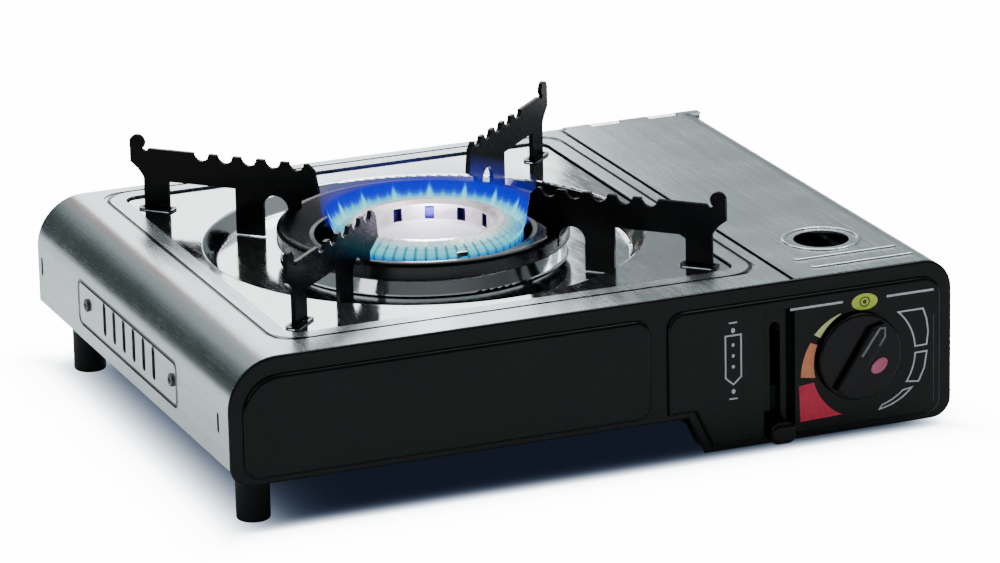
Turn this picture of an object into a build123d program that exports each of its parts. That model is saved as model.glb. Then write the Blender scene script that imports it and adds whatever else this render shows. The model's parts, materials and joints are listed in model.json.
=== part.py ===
from build123d import *
from math import cos, radians, sin, tan
import os

# Portable cassette stove: a folded sheet-steel case with a burner on the left and a
# lidded bay for a gas cartridge on the right. Millimetres, +Z up, front at -Y.
# The origin is on the ground under the middle of the whole stove.

os.makedirs("parts", exist_ok=True)

# ---- driving dimensions -------------------------------------------------------------
WIDTH = 340.0            # steel case, left to right
DEPTH = 265.0            # steel case, front to back
TOP = 79.0               # top deck above the ground
KNOB_PROUD = 9.75        # how far the knob stands out in front of the case
HINGE_PROUD = 3.25       # how far the lid hinge stands out behind the case
SHEET = 1.0              # thickness of the case sheet
FIELD_PROUD = 3.2        # how far the pressed fields of the front panel stand out

LEFT = -WIDTH / 2
RIGHT = WIDTH / 2
FRONT = -(DEPTH + KNOB_PROUD + HINGE_PROUD) / 2 + KNOB_PROUD
REAR = FRONT + DEPTH
MID_Y = (FRONT + REAR) / 2

SHELL_RADIUS = 23.0      # bend along the left edge of the case
LID_RADIUS = 14.0        # bend along the right edge of the lid
SHELL_BOTTOM = 30.3      # lower edge of the left side
PANEL_BOTTOM = 22.2      # lower edge of the front panel on the burner side
BAY_BOTTOM = 5.0         # lower edge of the front panel on the cartridge side
STEP_OUT = 42.0          # where the front panel starts to step down
STEP_IN = 50.0           # where the step down ends
BURNER_FLOOR = 31.5      # top of the base tray on the burner side
BAY_FLOOR = 8.9          # top of the base tray on the cartridge side
SPLIT = 92.5             # joint between the top deck and the lid
PARTITION = 90.2         # left face of the wall between burner and cartridge

DISH_X = -28.5           # middle of the drip pan's dish and of the pan support
DISH_Y = MID_Y
BURNER_X = DISH_X + 3.5  # the burner stands a little off the middle of its dish
BURNER_Y = DISH_Y + 2.0
HEAD_RADIUS = 42.0
HEAD_HOLE = 29.0
HEAD_TOP = TOP + 6.5

PAN_LEFT = -133.0        # opening in the deck for the drip pan
PAN_RIGHT = 78.0
PAN_FRONT = MID_Y - 108.0
PAN_REAR = MID_Y + 116.0
PAN_GAP = 1.2            # dark joint all round the drip pan
PAN_SHEET = 0.7
PAN_TOP = TOP - 1.0

KNOB_X = 123.0
KNOB_Z = TOP - 38.4
KNOB_RADIUS = 20.0
SPINDLE_RADIUS = 3.0

LEVER_X = 85.0           # middle of the lever channel
LEVER_Z = 11.1           # middle of the lever grip when locked
LEVER_PIN_Y = -120.0
LEVER_PIN_Z = 17.0
CRANK_REACH = 24.0       # crank pivot to the lever pin, along Y
CRANK_SWING = 38.0       # crank angle each side of level, in degrees
CRANK_SHORT = 5.5        # short arm of the crank
CRANK_Y = LEVER_PIN_Y + CRANK_REACH
CRANK_Z = LEVER_PIN_Z + CRANK_REACH * tan(radians(CRANK_SWING))
LEVER_TRAVEL = 2 * (CRANK_Z - LEVER_PIN_Z)
CARRIAGE_TRAVEL = 2 * CRANK_SHORT * sin(radians(CRANK_SWING))

CARTRIDGE_X = 131.0
CARTRIDGE_Z = 43.5
JET_Y = -99.0
JET_Z = 58.0
TUBE_RADIUS = 9.0

HINGE_Y = REAR
HINGE_Z = TOP - HINGE_PROUD
HINGE_PIN_RADIUS = 1.5

FOOT_X = 153.0
FOOT_Y = 112.0
FOOT_RADIUS = 7.5
SIDE_SCREW_Z = TOP - 30.0
SIDE_SCREW_YS = (MID_Y + 57.3, MID_Y - 59.5)
RIGHT_SCREW_Z = 30.0
REAR_SCREWS = ((-150.0, 38.0), (-28.0, 38.0), (62.0, 18.0), (155.0, 18.0))
SCREW_CLEARANCE = 1.9    # radius of a hole that a case screw passes through
SCREW_PILOT = 1.55       # radius of a hole that a case screw bites in
FOOT_SCREW_HOLE = 1.8
LOUVRES = 6
LOUVRE_PITCH = 13.6
LOUVRE_LENGTH = 15.5
LOUVRE_WIDTH = 4.2


def upright(y):
    """Vertical plane across the stove at depth y: local x is X, local y is Z."""
    return Plane.XZ.offset(-y)


def sideways(x):
    """Vertical plane along the stove at x: local x is Y, local y is Z."""
    return Plane.YZ.offset(x)


def level(z):
    """Horizontal plane at height z."""
    return Plane.XY.offset(z)


def above_burner(z):
    """Horizontal plane at height z, centred on the burner."""
    return Plane((BURNER_X, BURNER_Y, z))


def above_dish(z):
    """Horizontal plane at height z, centred on the drip pan's dish."""
    return Plane((DISH_X, DISH_Y, z))


# ---- case ---------------------------------------------------------------------------
half = SHEET / 2
pan_centre = ((PAN_LEFT + PAN_RIGHT) / 2, (PAN_FRONT + PAN_REAR) / 2)
pan_width = PAN_RIGHT - PAN_LEFT
pan_depth = PAN_REAR - PAN_FRONT
PAN_CORNER = 8.0
LEDGE_DROP = 3.6
LEDGE_WIDTH = 5.0
LINE_OUT = 9.0           # pressed line's outer edge, out from the drip pan's opening
LINE_WIDTH = 1.9         # pressed lines in the case
LINE_DEPTH = 0.45

with BuildPart() as outer_shell:
    with BuildSketch(upright(FRONT)):
        with BuildLine():
            FilletPolyline(
                (LEFT + half, SHELL_BOTTOM),
                (LEFT + half, TOP - half),
                (SPLIT - 0.5, TOP - half),
                radius=SHELL_RADIUS - half,
            )
        trace(line_width=SHEET)
    extrude(amount=-(DEPTH - 1.5))
    # opening for the drip pan, with a wall and a ledge that carry it
    with BuildSketch(level(TOP)):
        with Locations(pan_centre):
            RectangleRounded(pan_width, pan_depth, PAN_CORNER)
    extrude(amount=-2 * SHEET, mode=Mode.SUBTRACT)
    with BuildSketch(level(TOP - LEDGE_DROP)):
        with Locations(pan_centre):
            RectangleRounded(pan_width + 2 * SHEET, pan_depth + 2 * SHEET, PAN_CORNER + SHEET)
            RectangleRounded(pan_width, pan_depth, PAN_CORNER, mode=Mode.SUBTRACT)
    extrude(amount=LEDGE_DROP - half)
    with BuildSketch(level(TOP - LEDGE_DROP - SHEET)):
        with Locations(pan_centre):
            RectangleRounded(pan_width + 2 * SHEET, pan_depth + 2 * SHEET, PAN_CORNER + SHEET)
            RectangleRounded(
                pan_width - 2 * LEDGE_WIDTH,
                pan_depth - 2 * LEDGE_WIDTH,
                PAN_CORNER - LEDGE_WIDTH,
                mode=Mode.SUBTRACT,
            )
    extrude(amount=SHEET)
    # pressed line around the opening
    with BuildSketch(level(TOP)):
        with Locations(pan_centre):
            RectangleRounded(pan_width + 2 * LINE_OUT, pan_depth + 2 * LINE_OUT, PAN_CORNER + 4)
            RectangleRounded(
                pan_width + 2 * (LINE_OUT - LINE_WIDTH),
                pan_depth + 2 * (LINE_OUT - LINE_WIDTH),
                PAN_CORNER + 4 - LINE_WIDTH,
                mode=Mode.SUBTRACT,
            )
    extrude(amount=-LINE_DEPTH, mode=Mode.SUBTRACT)
    # louvres, a pressed outline and two keyhole slots in the left side
    with BuildSketch(sideways(LEFT)):
        with Locations((MID_Y - 0.7, TOP - 29.9)):
            with GridLocations(LOUVRE_PITCH, 1, LOUVRES, 1):
                SlotOverall(LOUVRE_LENGTH, LOUVRE_WIDTH, rotation=90)
        with Locations((MID_Y + 125.0, TOP - 31), (MID_Y - 119.4, TOP - 31)):
            SlotOverall(9, 2.4, rotation=90)
        with Locations(*[(y, SIDE_SCREW_Z) for y in SIDE_SCREW_YS]):
            Circle(SCREW_CLEARANCE)
    extrude(amount=3 * SHEET, mode=Mode.SUBTRACT)
    with BuildSketch(sideways(LEFT)):
        with Locations((MID_Y + 2.7, TOP - 31.2)):
            RectangleRounded(137.4, 22.0, 4.4)
            RectangleRounded(137.4 - 2 * LINE_WIDTH, 22.0 - 2 * LINE_WIDTH, 4.4 - LINE_WIDTH, mode=Mode.SUBTRACT)
    extrude(amount=LINE_DEPTH, mode=Mode.SUBTRACT)
outer_shell.part.label = "outer_shell"
export_step(outer_shell.part, "parts/outer_shell.step")

TRAY_SIDE = WIDTH / 2 - 3.1      # middle of the tray's side flanges
TRAY_FRONT = FRONT + 13.0
TRAY_REAR = REAR - 4.2
with BuildPart() as base_tray:
    with BuildSketch(upright(TRAY_FRONT)):
        with BuildLine():
            FilletPolyline(
                (-TRAY_SIDE, 58.0),
                (-TRAY_SIDE, BURNER_FLOOR - half),
                (STEP_OUT + 3.0, BURNER_FLOOR - half),
                (STEP_IN + 4.5, BAY_FLOOR - half),
                (TRAY_SIDE, BAY_FLOOR - half),
                (TRAY_SIDE, 46.0),
                radius=3.0,
            )
        trace(line_width=SHEET)
    extrude(amount=-(TRAY_REAR - TRAY_FRONT))
    # rear upstand that takes the rear panel's screws
    with BuildSketch(upright(TRAY_REAR)):
        with BuildLine():
            Polyline(
                (-TRAY_SIDE + 1, BURNER_FLOOR - 0.5),
                (STEP_OUT + 4.0, BURNER_FLOOR - 0.5),
                (STEP_IN + 5.5, BAY_FLOOR - 0.5),
                (TRAY_SIDE - 1, BAY_FLOOR - 0.5),
                (TRAY_SIDE - 1, 27.0),
                (STEP_IN + 1, 27.0),
                (STEP_IN - 6, 46.0),
                (-TRAY_SIDE + 1, 46.0),
                close=True,
            )
        make_face()
        with Locations(*REAR_SCREWS):
            Circle(SCREW_PILOT, mode=Mode.SUBTRACT)
    extrude(amount=SHEET)
    with BuildSketch(level(BURNER_FLOOR + 1)):
        with Locations((-FOOT_X, MID_Y - FOOT_Y), (-FOOT_X, MID_Y + FOOT_Y)):
            Circle(FOOT_SCREW_HOLE)
        with Locations((FOOT_X, MID_Y - FOOT_Y), (FOOT_X, MID_Y + FOOT_Y)):
            Circle(FOOT_SCREW_HOLE)
    extrude(amount=-BURNER_FLOOR, mode=Mode.SUBTRACT)
    with BuildSketch(sideways(-WIDTH / 2)):
        with Locations(*[(y, SIDE_SCREW_Z) for y in SIDE_SCREW_YS]):
            Circle(SCREW_PILOT)
    extrude(amount=10, mode=Mode.SUBTRACT)
    with BuildSketch(sideways(WIDTH / 2)):
        with Locations(*[(y, RIGHT_SCREW_Z) for y in SIDE_SCREW_YS]):
            Circle(SCREW_PILOT)
    extrude(amount=-10, mode=Mode.SUBTRACT)
base_tray.part.label = "base_tray"
export_step(base_tray.part, "parts/base_tray.step")

# The front panel is pressed from one sheet: a rim, two raised fields with a valley
# between them, and a channel for the locking lever.
PANEL_SHEET = 1.2
RIM = 1.4                # gap from the case's outline to the panel's rear flange


def panel_outline(inset):
    """The front panel's outline in X and Z, drawn in by inset."""
    with BuildSketch(Plane.XY) as outline:
        with BuildLine():
            Polyline(
                (LEFT + inset, PANEL_BOTTOM + inset),
                (STEP_OUT + 0.6 * inset, PANEL_BOTTOM + inset),
                (STEP_IN + 0.6 * inset, BAY_BOTTOM + inset),
                (RIGHT - inset, BAY_BOTTOM + inset),
                (RIGHT - inset, TOP - inset),
                (LEFT + inset, TOP - inset),
                close=True,
            )
        make_face()
        corners = outline.vertices().sort_by(Axis.X)
        fillet([v for v in corners[:2] if v.Y < 40], 9.5 - inset)
        fillet(outline.vertices().group_by(Axis.Y)[-1].sort_by(Axis.X)[0], SHELL_RADIUS - inset)
        fillet(outline.vertices().sort_by(Axis.X)[-2:].sort_by(Axis.Y)[-1], LID_RADIUS - inset)
        fillet(outline.vertices().sort_by(Axis.X)[-2:].sort_by(Axis.Y)[0], 9.0 - inset)
    return outline.sketch


def field_outlines(inset):
    """The two raised fields, drawn in by inset: left and right."""
    with BuildSketch(Plane.XY) as left_field:
        with BuildLine():
            Polyline(
                (LEFT + 6 + inset, PANEL_BOTTOM + 3 + inset),
                (24 - inset, PANEL_BOTTOM + 3 + inset),
                (24 - inset, TOP - 8 - inset),
                (LEFT + 6 + inset, TOP - 8 - inset),
                close=True,
            )
        make_face()
        fillet(left_field.vertices().sort_by(Axis.Y)[-2:].sort_by(Axis.X)[0], 17 - inset)
        fillet(left_field.vertices().sort_by(Axis.Y)[:2].sort_by(Axis.X)[0], 7 - inset)
        fillet(left_field.vertices().sort_by(Axis.X)[-2:], 7 - inset)
    with BuildSketch(Plane.XY) as right_field:
        with BuildLine():
            Polyline(
                (32 + inset, PANEL_BOTTOM + 3 + inset),
                (STEP_OUT + 3 + inset, PANEL_BOTTOM + 3 + inset),
                (STEP_IN + 3 + inset, BAY_BOTTOM + 3 + inset),
                (RIGHT - 6 - inset, BAY_BOTTOM + 3 + inset),
                (RIGHT - 6 - inset, TOP - 7 - inset),
                (32 + inset, TOP - 7 - inset),
                close=True,
            )
        make_face()
        fillet(right_field.vertices().sort_by(Axis.X)[-2:].sort_by(Axis.Y)[-1], 9 - inset)
        fillet(right_field.vertices().sort_by(Axis.X)[-2:].sort_by(Axis.Y)[0], 6.5 - inset)
        fillet(right_field.vertices().sort_by(Axis.Y)[-2:].sort_by(Axis.X)[0], 8 - inset)
    return [left_field.sketch, right_field.sketch]


CHANNEL_WIDTH = 15.0
CHANNEL_LOW = BAY_BOTTOM + 3.5
CHANNEL_HIGH = TOP - 12.0
CHANNEL_FLOOR = FRONT + 1.6          # front face of the channel's floor
SLOT_WIDTH = 5.0
channel_middle = (LEVER_X, (CHANNEL_LOW + CHANNEL_HIGH) / 2)
channel_height = CHANNEL_HIGH - CHANNEL_LOW

with BuildPart() as front_panel:
    with BuildSketch(upright(FRONT)):
        add(panel_outline(0))
    extrude(amount=PANEL_SHEET)
    rim_edges = front_panel.faces().sort_by(Axis.Y)[0].outer_wire().edges()
    fillet(rim_edges, 1.0)
    # raised fields with rounded edges, hollow behind
    with BuildSketch(upright(FRONT - PANEL_SHEET)):
        add(field_outlines(0))
    extrude(amount=FIELD_PROUD - PANEL_SHEET)
    for face in front_panel.faces().filter_by(Axis.Y).sort_by(Axis.Y)[:2]:
        fillet(face.outer_wire().edges(), 1.6)
    with BuildSketch(upright(FRONT)):
        add(field_outlines(1.6))
    extrude(amount=FIELD_PROUD - PANEL_SHEET, mode=Mode.SUBTRACT)
    # flange that reaches back inside the case
    with BuildSketch(upright(FRONT + 12)):
        add(panel_outline(RIM))
        add(panel_outline(RIM + SHEET), mode=Mode.SUBTRACT)
    extrude(amount=12 + 0.6)
    # lever channel: a trough through the right field, open at a narrow slot
    with BuildSketch(upright(CHANNEL_FLOOR + PANEL_SHEET)):
        with Locations(channel_middle):
            RectangleRounded(CHANNEL_WIDTH + 2 * SHEET, channel_height + 2 * SHEET, 4)
    extrude(amount=PANEL_SHEET + FIELD_PROUD + 1.6 - 1.0)
    with BuildSketch(upright(FRONT - FIELD_PROUD - 1)):
        with Locations(channel_middle):
            RectangleRounded(CHANNEL_WIDTH, channel_height, 3)
    extrude(amount=-(FIELD_PROUD + 1 + 1.6), mode=Mode.SUBTRACT)
    with BuildSketch(upright(CHANNEL_FLOOR - 1)):
        with Locations((LEVER_X, 33.0)):
            SlotOverall(54, SLOT_WIDTH, rotation=90)
    extrude(amount=-4, mode=Mode.SUBTRACT)
    # hole for the valve spindle
    with BuildSketch(upright(FRONT - FIELD_PROUD - 1)):
        with Locations((KNOB_X, KNOB_Z)):
            Circle(4.5)
    extrude(amount=-8, mode=Mode.SUBTRACT)
front_panel.part.label = "front_panel"
export_step(front_panel.part, "parts/front_panel.step")

REAR_PLATE = REAR - 3.2              # front face of the rear panel
REAR_VENT_LENGTH = 20.0
REAR_VENT_WIDTH = 3.0
with BuildPart() as rear_panel:
    with BuildSketch(upright(REAR_PLATE)) as rear_outline:
        with BuildLine():
            Polyline(
                (LEFT + 1.2, BURNER_FLOOR - 1),
                (STEP_OUT + 3.0, BURNER_FLOOR - 1),
                (STEP_IN + 4.0, BAY_FLOOR - 1),
                (RIGHT - 1.5, BAY_FLOOR - 1),
                (RIGHT - 1.5, 71.0),
                (SPLIT, 71.0),
                (SPLIT - 1.5, TOP - 2.2),
                (LEFT + 1.2, TOP - 2.2),
                close=True,
            )
        make_face()
        fillet(rear_outline.vertices().group_by(Axis.Y)[-1].sort_by(Axis.X)[0], SHELL_RADIUS - 1.2)
    extrude(amount=-SHEET)
    # vents and screw holes
    with BuildSketch(upright(REAR_PLATE)):
        with Locations((-30.0, 56.0)):
            with GridLocations(20.0, 1, 10, 1):
                SlotOverall(REAR_VENT_LENGTH, REAR_VENT_WIDTH, rotation=90)
        with Locations((130.0, 44.0)):
            with GridLocations(13.0, 1, 5, 1):
                SlotOverall(REAR_VENT_LENGTH, REAR_VENT_WIDTH, rotation=90)
        with Locations(*REAR_SCREWS):
            Circle(SCREW_CLEARANCE)
    extrude(amount=-SHEET, mode=Mode.SUBTRACT)
rear_panel.part.label = "rear_panel"
export_step(rear_panel.part, "parts/rear_panel.step")

SIDE_PANEL_TOP = 49.0
LIP_RISE = 3.5           # how far the side panel's lip stands up behind the lid's skirt
LIP_DROP = 3.0
with BuildPart() as right_side_panel:
    with BuildSketch(upright(FRONT + 0.3)):
        with BuildLine():
            FilletPolyline(
                (RIGHT - half, SIDE_PANEL_TOP),
                (RIGHT - half, BAY_BOTTOM + half),
                (RIGHT - 9.2, BAY_BOTTOM + half),
                radius=8.5,
            )
        trace(line_width=SHEET)
    extrude(amount=-(DEPTH - 4.5))
    # lip that closes the joint under the lid's skirt from inside
    with BuildSketch(upright(FRONT + 14.0)):
        with BuildLine():
            Polyline(
                (RIGHT - 2.3, SIDE_PANEL_TOP - LIP_DROP),
                (RIGHT - 0.9, SIDE_PANEL_TOP - LIP_DROP),
                (RIGHT - 0.9, SIDE_PANEL_TOP - 0.5),
                (RIGHT - 1.3, SIDE_PANEL_TOP - 0.1),
                (RIGHT - 1.3, SIDE_PANEL_TOP + LIP_RISE),
                (RIGHT - 2.3, SIDE_PANEL_TOP + LIP_RISE),
                close=True,
            )
        make_face()
    extrude(amount=-(DEPTH - 34.0))
    with BuildSketch(sideways(RIGHT)):
        with Locations((MID_Y - 0.7, 31.0)):
            with GridLocations(LOUVRE_PITCH, 1, LOUVRES, 1):
                SlotOverall(LOUVRE_LENGTH, LOUVRE_WIDTH, rotation=90)
        with Locations(*[(y, RIGHT_SCREW_Z) for y in SIDE_SCREW_YS]):
            Circle(SCREW_CLEARANCE)
    extrude(amount=-3 * SHEET, mode=Mode.SUBTRACT)
right_side_panel.part.label = "right_side_panel"
export_step(right_side_panel.part, "parts/right_side_panel.step")

TONGUE_LOW = 44.0        # bar of the carriage that passes through the partition
TONGUE_HIGH = 46.5
tip_swing = radians(CRANK_SWING)
CRANK_TIP_Y = CRANK_Y - CRANK_SHORT * sin(tip_swing)
TONGUE_FRONT = CRANK_TIP_Y - 5.0
TONGUE_REAR = CRANK_TIP_Y + 5.0

with BuildPart() as partition_wall:
    wall_front = FRONT + 13.2
    wall_rear = TRAY_REAR - SHEET - 0.1
    with BuildSketch(sideways(PARTITION)):
        with BuildLine():
            Polyline(
                (wall_front, BAY_FLOOR),
                (wall_rear, BAY_FLOOR),
                (wall_rear, TOP - SHEET),
                (wall_front, TOP - SHEET),
                close=True,
            )
        make_face()
        with Locations((JET_Y, JET_Z)):
            Circle(TUBE_RADIUS + 0.4, mode=Mode.SUBTRACT)
        slot_rear = TONGUE_REAR + CARRIAGE_TRAVEL + 0.8
        slot_front = TONGUE_FRONT - 0.8
        with Locations(((slot_front + slot_rear) / 2, (TONGUE_LOW + TONGUE_HIGH) / 2)):
            Rectangle(slot_rear - slot_front, TONGUE_HIGH - TONGUE_LOW + 1.2, mode=Mode.SUBTRACT)
        with Locations((CRANK_Y, CRANK_Z)):
            Circle(2.05, mode=Mode.SUBTRACT)
        with Locations(*[(-40 + 26 * i, 30.0) for i in range(5)]):
            SlotOverall(16, 8, mode=Mode.SUBTRACT)
    extrude(amount=SHEET)
    with BuildSketch(upright(wall_front)):
        with Locations((PARTITION - 4.5, TOP - SHEET - half)):
            Rectangle(9, SHEET)
    extrude(amount=-(wall_rear - wall_front))
partition_wall.part.label = "partition_wall"
export_step(partition_wall.part, "parts/partition_wall.step")

with BuildPart() as tall_feet:
    with BuildSketch(level(0)):
        with Locations((-FOOT_X, MID_Y - FOOT_Y), (-FOOT_X, MID_Y + FOOT_Y)):
            Circle(FOOT_RADIUS)
    extrude(amount=BURNER_FLOOR - SHEET)
    fillet(tall_feet.faces().sort_by(Axis.Z)[:2].edges(), 1.2)
    with BuildSketch(level(BURNER_FLOOR)):
        with Locations((-FOOT_X, MID_Y - FOOT_Y), (-FOOT_X, MID_Y + FOOT_Y)):
            Circle(FOOT_SCREW_HOLE)
    extrude(amount=-14, mode=Mode.SUBTRACT)
tall_feet.part.label = "tall_feet"
export_step(tall_feet.part, "parts/tall_feet.step")

with BuildPart() as short_feet:
    with BuildSketch(level(0)):
        with Locations((FOOT_X, MID_Y - FOOT_Y), (FOOT_X, MID_Y + FOOT_Y)):
            Circle(FOOT_RADIUS)
    extrude(amount=BAY_FLOOR - SHEET)
    fillet(short_feet.faces().sort_by(Axis.Z)[:2].edges(), 1.2)
    with BuildSketch(level(BAY_FLOOR)):
        with Locations((FOOT_X, MID_Y - FOOT_Y), (FOOT_X, MID_Y + FOOT_Y)):
            Circle(FOOT_SCREW_HOLE)
    extrude(amount=-6, mode=Mode.SUBTRACT)
short_feet.part.label = "short_feet"
export_step(short_feet.part, "parts/short_feet.step")


def screw(shank_length, shank_radius, head_radius, head_height):
    """A pan-head screw with a cross recess: seat at z = 0, head up, shank down."""
    with BuildPart() as body:
        with BuildSketch():
            Circle(head_radius)
        extrude(amount=head_height)
        fillet(body.edges().group_by(Axis.Z)[-1], head_height * 0.45)
        with BuildSketch(Plane.XY.offset(head_height)):
            Rectangle(head_radius * 1.2, head_radius * 0.3)
            Rectangle(head_radius * 0.3, head_radius * 1.2)
        extrude(amount=-head_height * 0.6, mode=Mode.SUBTRACT)
        with BuildSketch():
            Circle(shank_radius)
        extrude(amount=-shank_length)
    return body.part


def seat(x, y, z, outward):
    """Plane at a screw's seat, with outward the way its head faces."""
    return Plane((x, y, z), z_dir=outward)


tall_screw = screw(11.0, 1.7, 3.2, 2.0)
short_screw = screw(5.0, 1.7, 3.2, 1.5)
side_screw = screw(5.0, 1.5, 3.0, 1.2)
rear_screw = screw(5.0, 1.5, 2.8, 1.1)

with BuildPart() as foot_screws:
    with Locations(
        seat(-FOOT_X, MID_Y - FOOT_Y, BURNER_FLOOR, (0, 0, 1)),
        seat(-FOOT_X, MID_Y + FOOT_Y, BURNER_FLOOR, (0, 0, 1)),
    ):
        add(tall_screw)
    with Locations(
        seat(FOOT_X, MID_Y - FOOT_Y, BAY_FLOOR, (0, 0, 1)),
        seat(FOOT_X, MID_Y + FOOT_Y, BAY_FLOOR, (0, 0, 1)),
    ):
        add(short_screw)
foot_screws.part.label = "foot_screws"
export_step(foot_screws.part, "parts/foot_screws.step")

with BuildPart() as side_screws:
    with Locations(*[seat(LEFT, y, SIDE_SCREW_Z, (-1, 0, 0)) for y in SIDE_SCREW_YS]):
        add(side_screw)
    with Locations(*[seat(RIGHT, y, RIGHT_SCREW_Z, (1, 0, 0)) for y in SIDE_SCREW_YS]):
        add(side_screw)
side_screws.part.label = "side_screws"
export_step(side_screws.part, "parts/side_screws.step")

with BuildPart() as rear_screws:
    with Locations(*[seat(x, REAR_PLATE + SHEET, z, (0, 1, 0)) for x, z in REAR_SCREWS]):
        add(rear_screw)
rear_screws.part.label = "rear_screws"
export_step(rear_screws.part, "parts/rear_screws.step")

# ---- burner -------------------------------------------------------------------------
BASE_BOTTOM = 48.0
BASE_TOP = HEAD_TOP - 9.6
STRAP_TOP = 44.5
BASE_RADIUS = 40.5
LUG_REACH = 34.0         # burner centre to the lugs that hold it on its strap
INLET_END = BURNER_X + 44.0
SPARK_X = BURNER_X - 3.5
SPARK_Y = BURNER_Y - 45.3

with BuildPart() as burner_base:
    # ring-shaped gas channel, open at the top under the burner head
    with BuildSketch(Plane((BURNER_X, BURNER_Y, 0), x_dir=(1, 0, 0), z_dir=(0, -1, 0))):
        with BuildLine():
            Polyline(
                (HEAD_HOLE - 2, BASE_TOP),
                (HEAD_HOLE - 2, BASE_BOTTOM + 3),
                (HEAD_HOLE + 1, BASE_BOTTOM),
                (BASE_RADIUS - 3, BASE_BOTTOM),
                (BASE_RADIUS, BASE_BOTTOM + 3),
                (BASE_RADIUS, BASE_TOP),
                (BASE_RADIUS - 2.5, BASE_TOP),
                (BASE_RADIUS - 2.5, BASE_BOTTOM + 3),
                (HEAD_HOLE + 0.5, BASE_BOTTOM + 3),
                (HEAD_HOLE + 0.5, BASE_TOP),
                close=True,
            )
        make_face()
    revolve(axis=Axis((BURNER_X, BURNER_Y, 0), (0, 0, 1)))
    # inlet for the mixing tube on the right
    with BuildSketch(sideways(BURNER_X + BASE_RADIUS - 1.5)):
        with Locations((BURNER_Y, JET_Z)):
            Circle(TUBE_RADIUS + 1.8)
    extrude(amount=INLET_END - BURNER_X - BASE_RADIUS + 1.5)
    with BuildSketch(sideways(BURNER_X + BASE_RADIUS + 1.0)):
        with Locations((BURNER_Y, JET_Z)):
            Circle(TUBE_RADIUS)
    extrude(amount=20, mode=Mode.SUBTRACT)
    with BuildSketch(sideways(BURNER_X + BASE_RADIUS - 4)):
        with Locations((BURNER_Y, JET_Z)):
            Circle(TUBE_RADIUS - 1.4)
    extrude(amount=8, mode=Mode.SUBTRACT)
    # two lugs down to the strap
    with BuildSketch(level(STRAP_TOP)):
        with Locations((BURNER_X, BURNER_Y - LUG_REACH), (BURNER_X, BURNER_Y + LUG_REACH)):
            Circle(5)
    extrude(amount=BASE_BOTTOM + 1.5 - STRAP_TOP)
    with BuildSketch(level(STRAP_TOP)):
        with Locations((BURNER_X, BURNER_Y - LUG_REACH), (BURNER_X, BURNER_Y + LUG_REACH)):
            Circle(1.7)
    extrude(amount=4, mode=Mode.SUBTRACT)
burner_base.part.label = "burner_base"
export_step(burner_base.part, "parts/burner_base.step")

PORTS = 54
WINDOWS = 12
with BuildPart() as burner_head:
    # crowned ring: an outer wall with slotted ports, an inner wall with tall windows
    with BuildSketch(Plane((BURNER_X, BURNER_Y, 0), x_dir=(1, 0, 0), z_dir=(0, -1, 0))):
        with BuildLine():
            Polyline(
                (HEAD_HOLE, BASE_TOP),
                (HEAD_HOLE, HEAD_TOP - 1.6),
                (HEAD_HOLE + 2.2, HEAD_TOP),
                (HEAD_HOLE + 5, HEAD_TOP),
                (HEAD_RADIUS - 2.0, HEAD_TOP - 3.8),
                (HEAD_RADIUS, HEAD_TOP - 5.5),
                (HEAD_RADIUS - 0.8, BASE_TOP),
                (BASE_RADIUS - 2.6, BASE_TOP),
                (BASE_RADIUS - 2.6, BASE_TOP - 1.5),
                (BASE_RADIUS - 4.4, BASE_TOP - 1.5),
                (BASE_RADIUS - 3.8, HEAD_TOP - 5.6),
                (HEAD_HOLE + 5, HEAD_TOP - 2.0),
                (HEAD_HOLE + 2.0, HEAD_TOP - 2.4),
                (HEAD_HOLE + 2.0, BASE_TOP),
                close=True,
            )
        make_face()
    revolve(axis=Axis((BURNER_X, BURNER_Y, 0), (0, 0, 1)))
    with BuildSketch(above_burner(HEAD_TOP - 1.2)):
        with PolarLocations(HEAD_RADIUS - 2.0, PORTS):
            Rectangle(6.4, 1.5)
    extrude(amount=-7, mode=Mode.SUBTRACT)
    with BuildSketch(above_burner(HEAD_TOP - 2.6)):
        with PolarLocations(HEAD_HOLE + 0.6, WINDOWS, start_angle=8):
            Rectangle(4.4, 4.4)
    extrude(amount=-6.2, mode=Mode.SUBTRACT)
burner_head.part.label = "burner_head"
export_step(burner_head.part, "parts/burner_head.step")

with BuildPart() as burner_strap:
    with BuildSketch(sideways(BURNER_X - 9)):
        with BuildLine():
            FilletPolyline(
                (BURNER_Y - 78, BURNER_FLOOR + 0.5),
                (BURNER_Y - 62, BURNER_FLOOR + 0.5),
                (BURNER_Y - 56, STRAP_TOP - 0.5),
                (BURNER_Y + 56, STRAP_TOP - 0.5),
                (BURNER_Y + 62, BURNER_FLOOR + 0.5),
                (BURNER_Y + 78, BURNER_FLOOR + 0.5),
                radius=2.5,
            )
        trace(line_width=SHEET)
    extrude(amount=18)
    with BuildSketch(level(STRAP_TOP + 1)):
        with Locations((BURNER_X, BURNER_Y - LUG_REACH), (BURNER_X, BURNER_Y + LUG_REACH)):
            Circle(1.7)
        with Locations((SPARK_X, SPARK_Y)):
            Circle(3.0)
    extrude(amount=-4, mode=Mode.SUBTRACT)
burner_strap.part.label = "burner_strap"
export_step(burner_strap.part, "parts/burner_strap.step")

strap_screw = screw(5.0, 1.6, 3.0, 2.0)
with BuildPart() as burner_screws:
    with Locations(
        seat(BURNER_X, BURNER_Y - LUG_REACH, STRAP_TOP - SHEET, (0, 0, -1)),
        seat(BURNER_X, BURNER_Y + LUG_REACH, STRAP_TOP - SHEET, (0, 0, -1)),
    ):
        add(strap_screw)
burner_screws.part.label = "burner_screws"
export_step(burner_screws.part, "parts/burner_screws.step")

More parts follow.
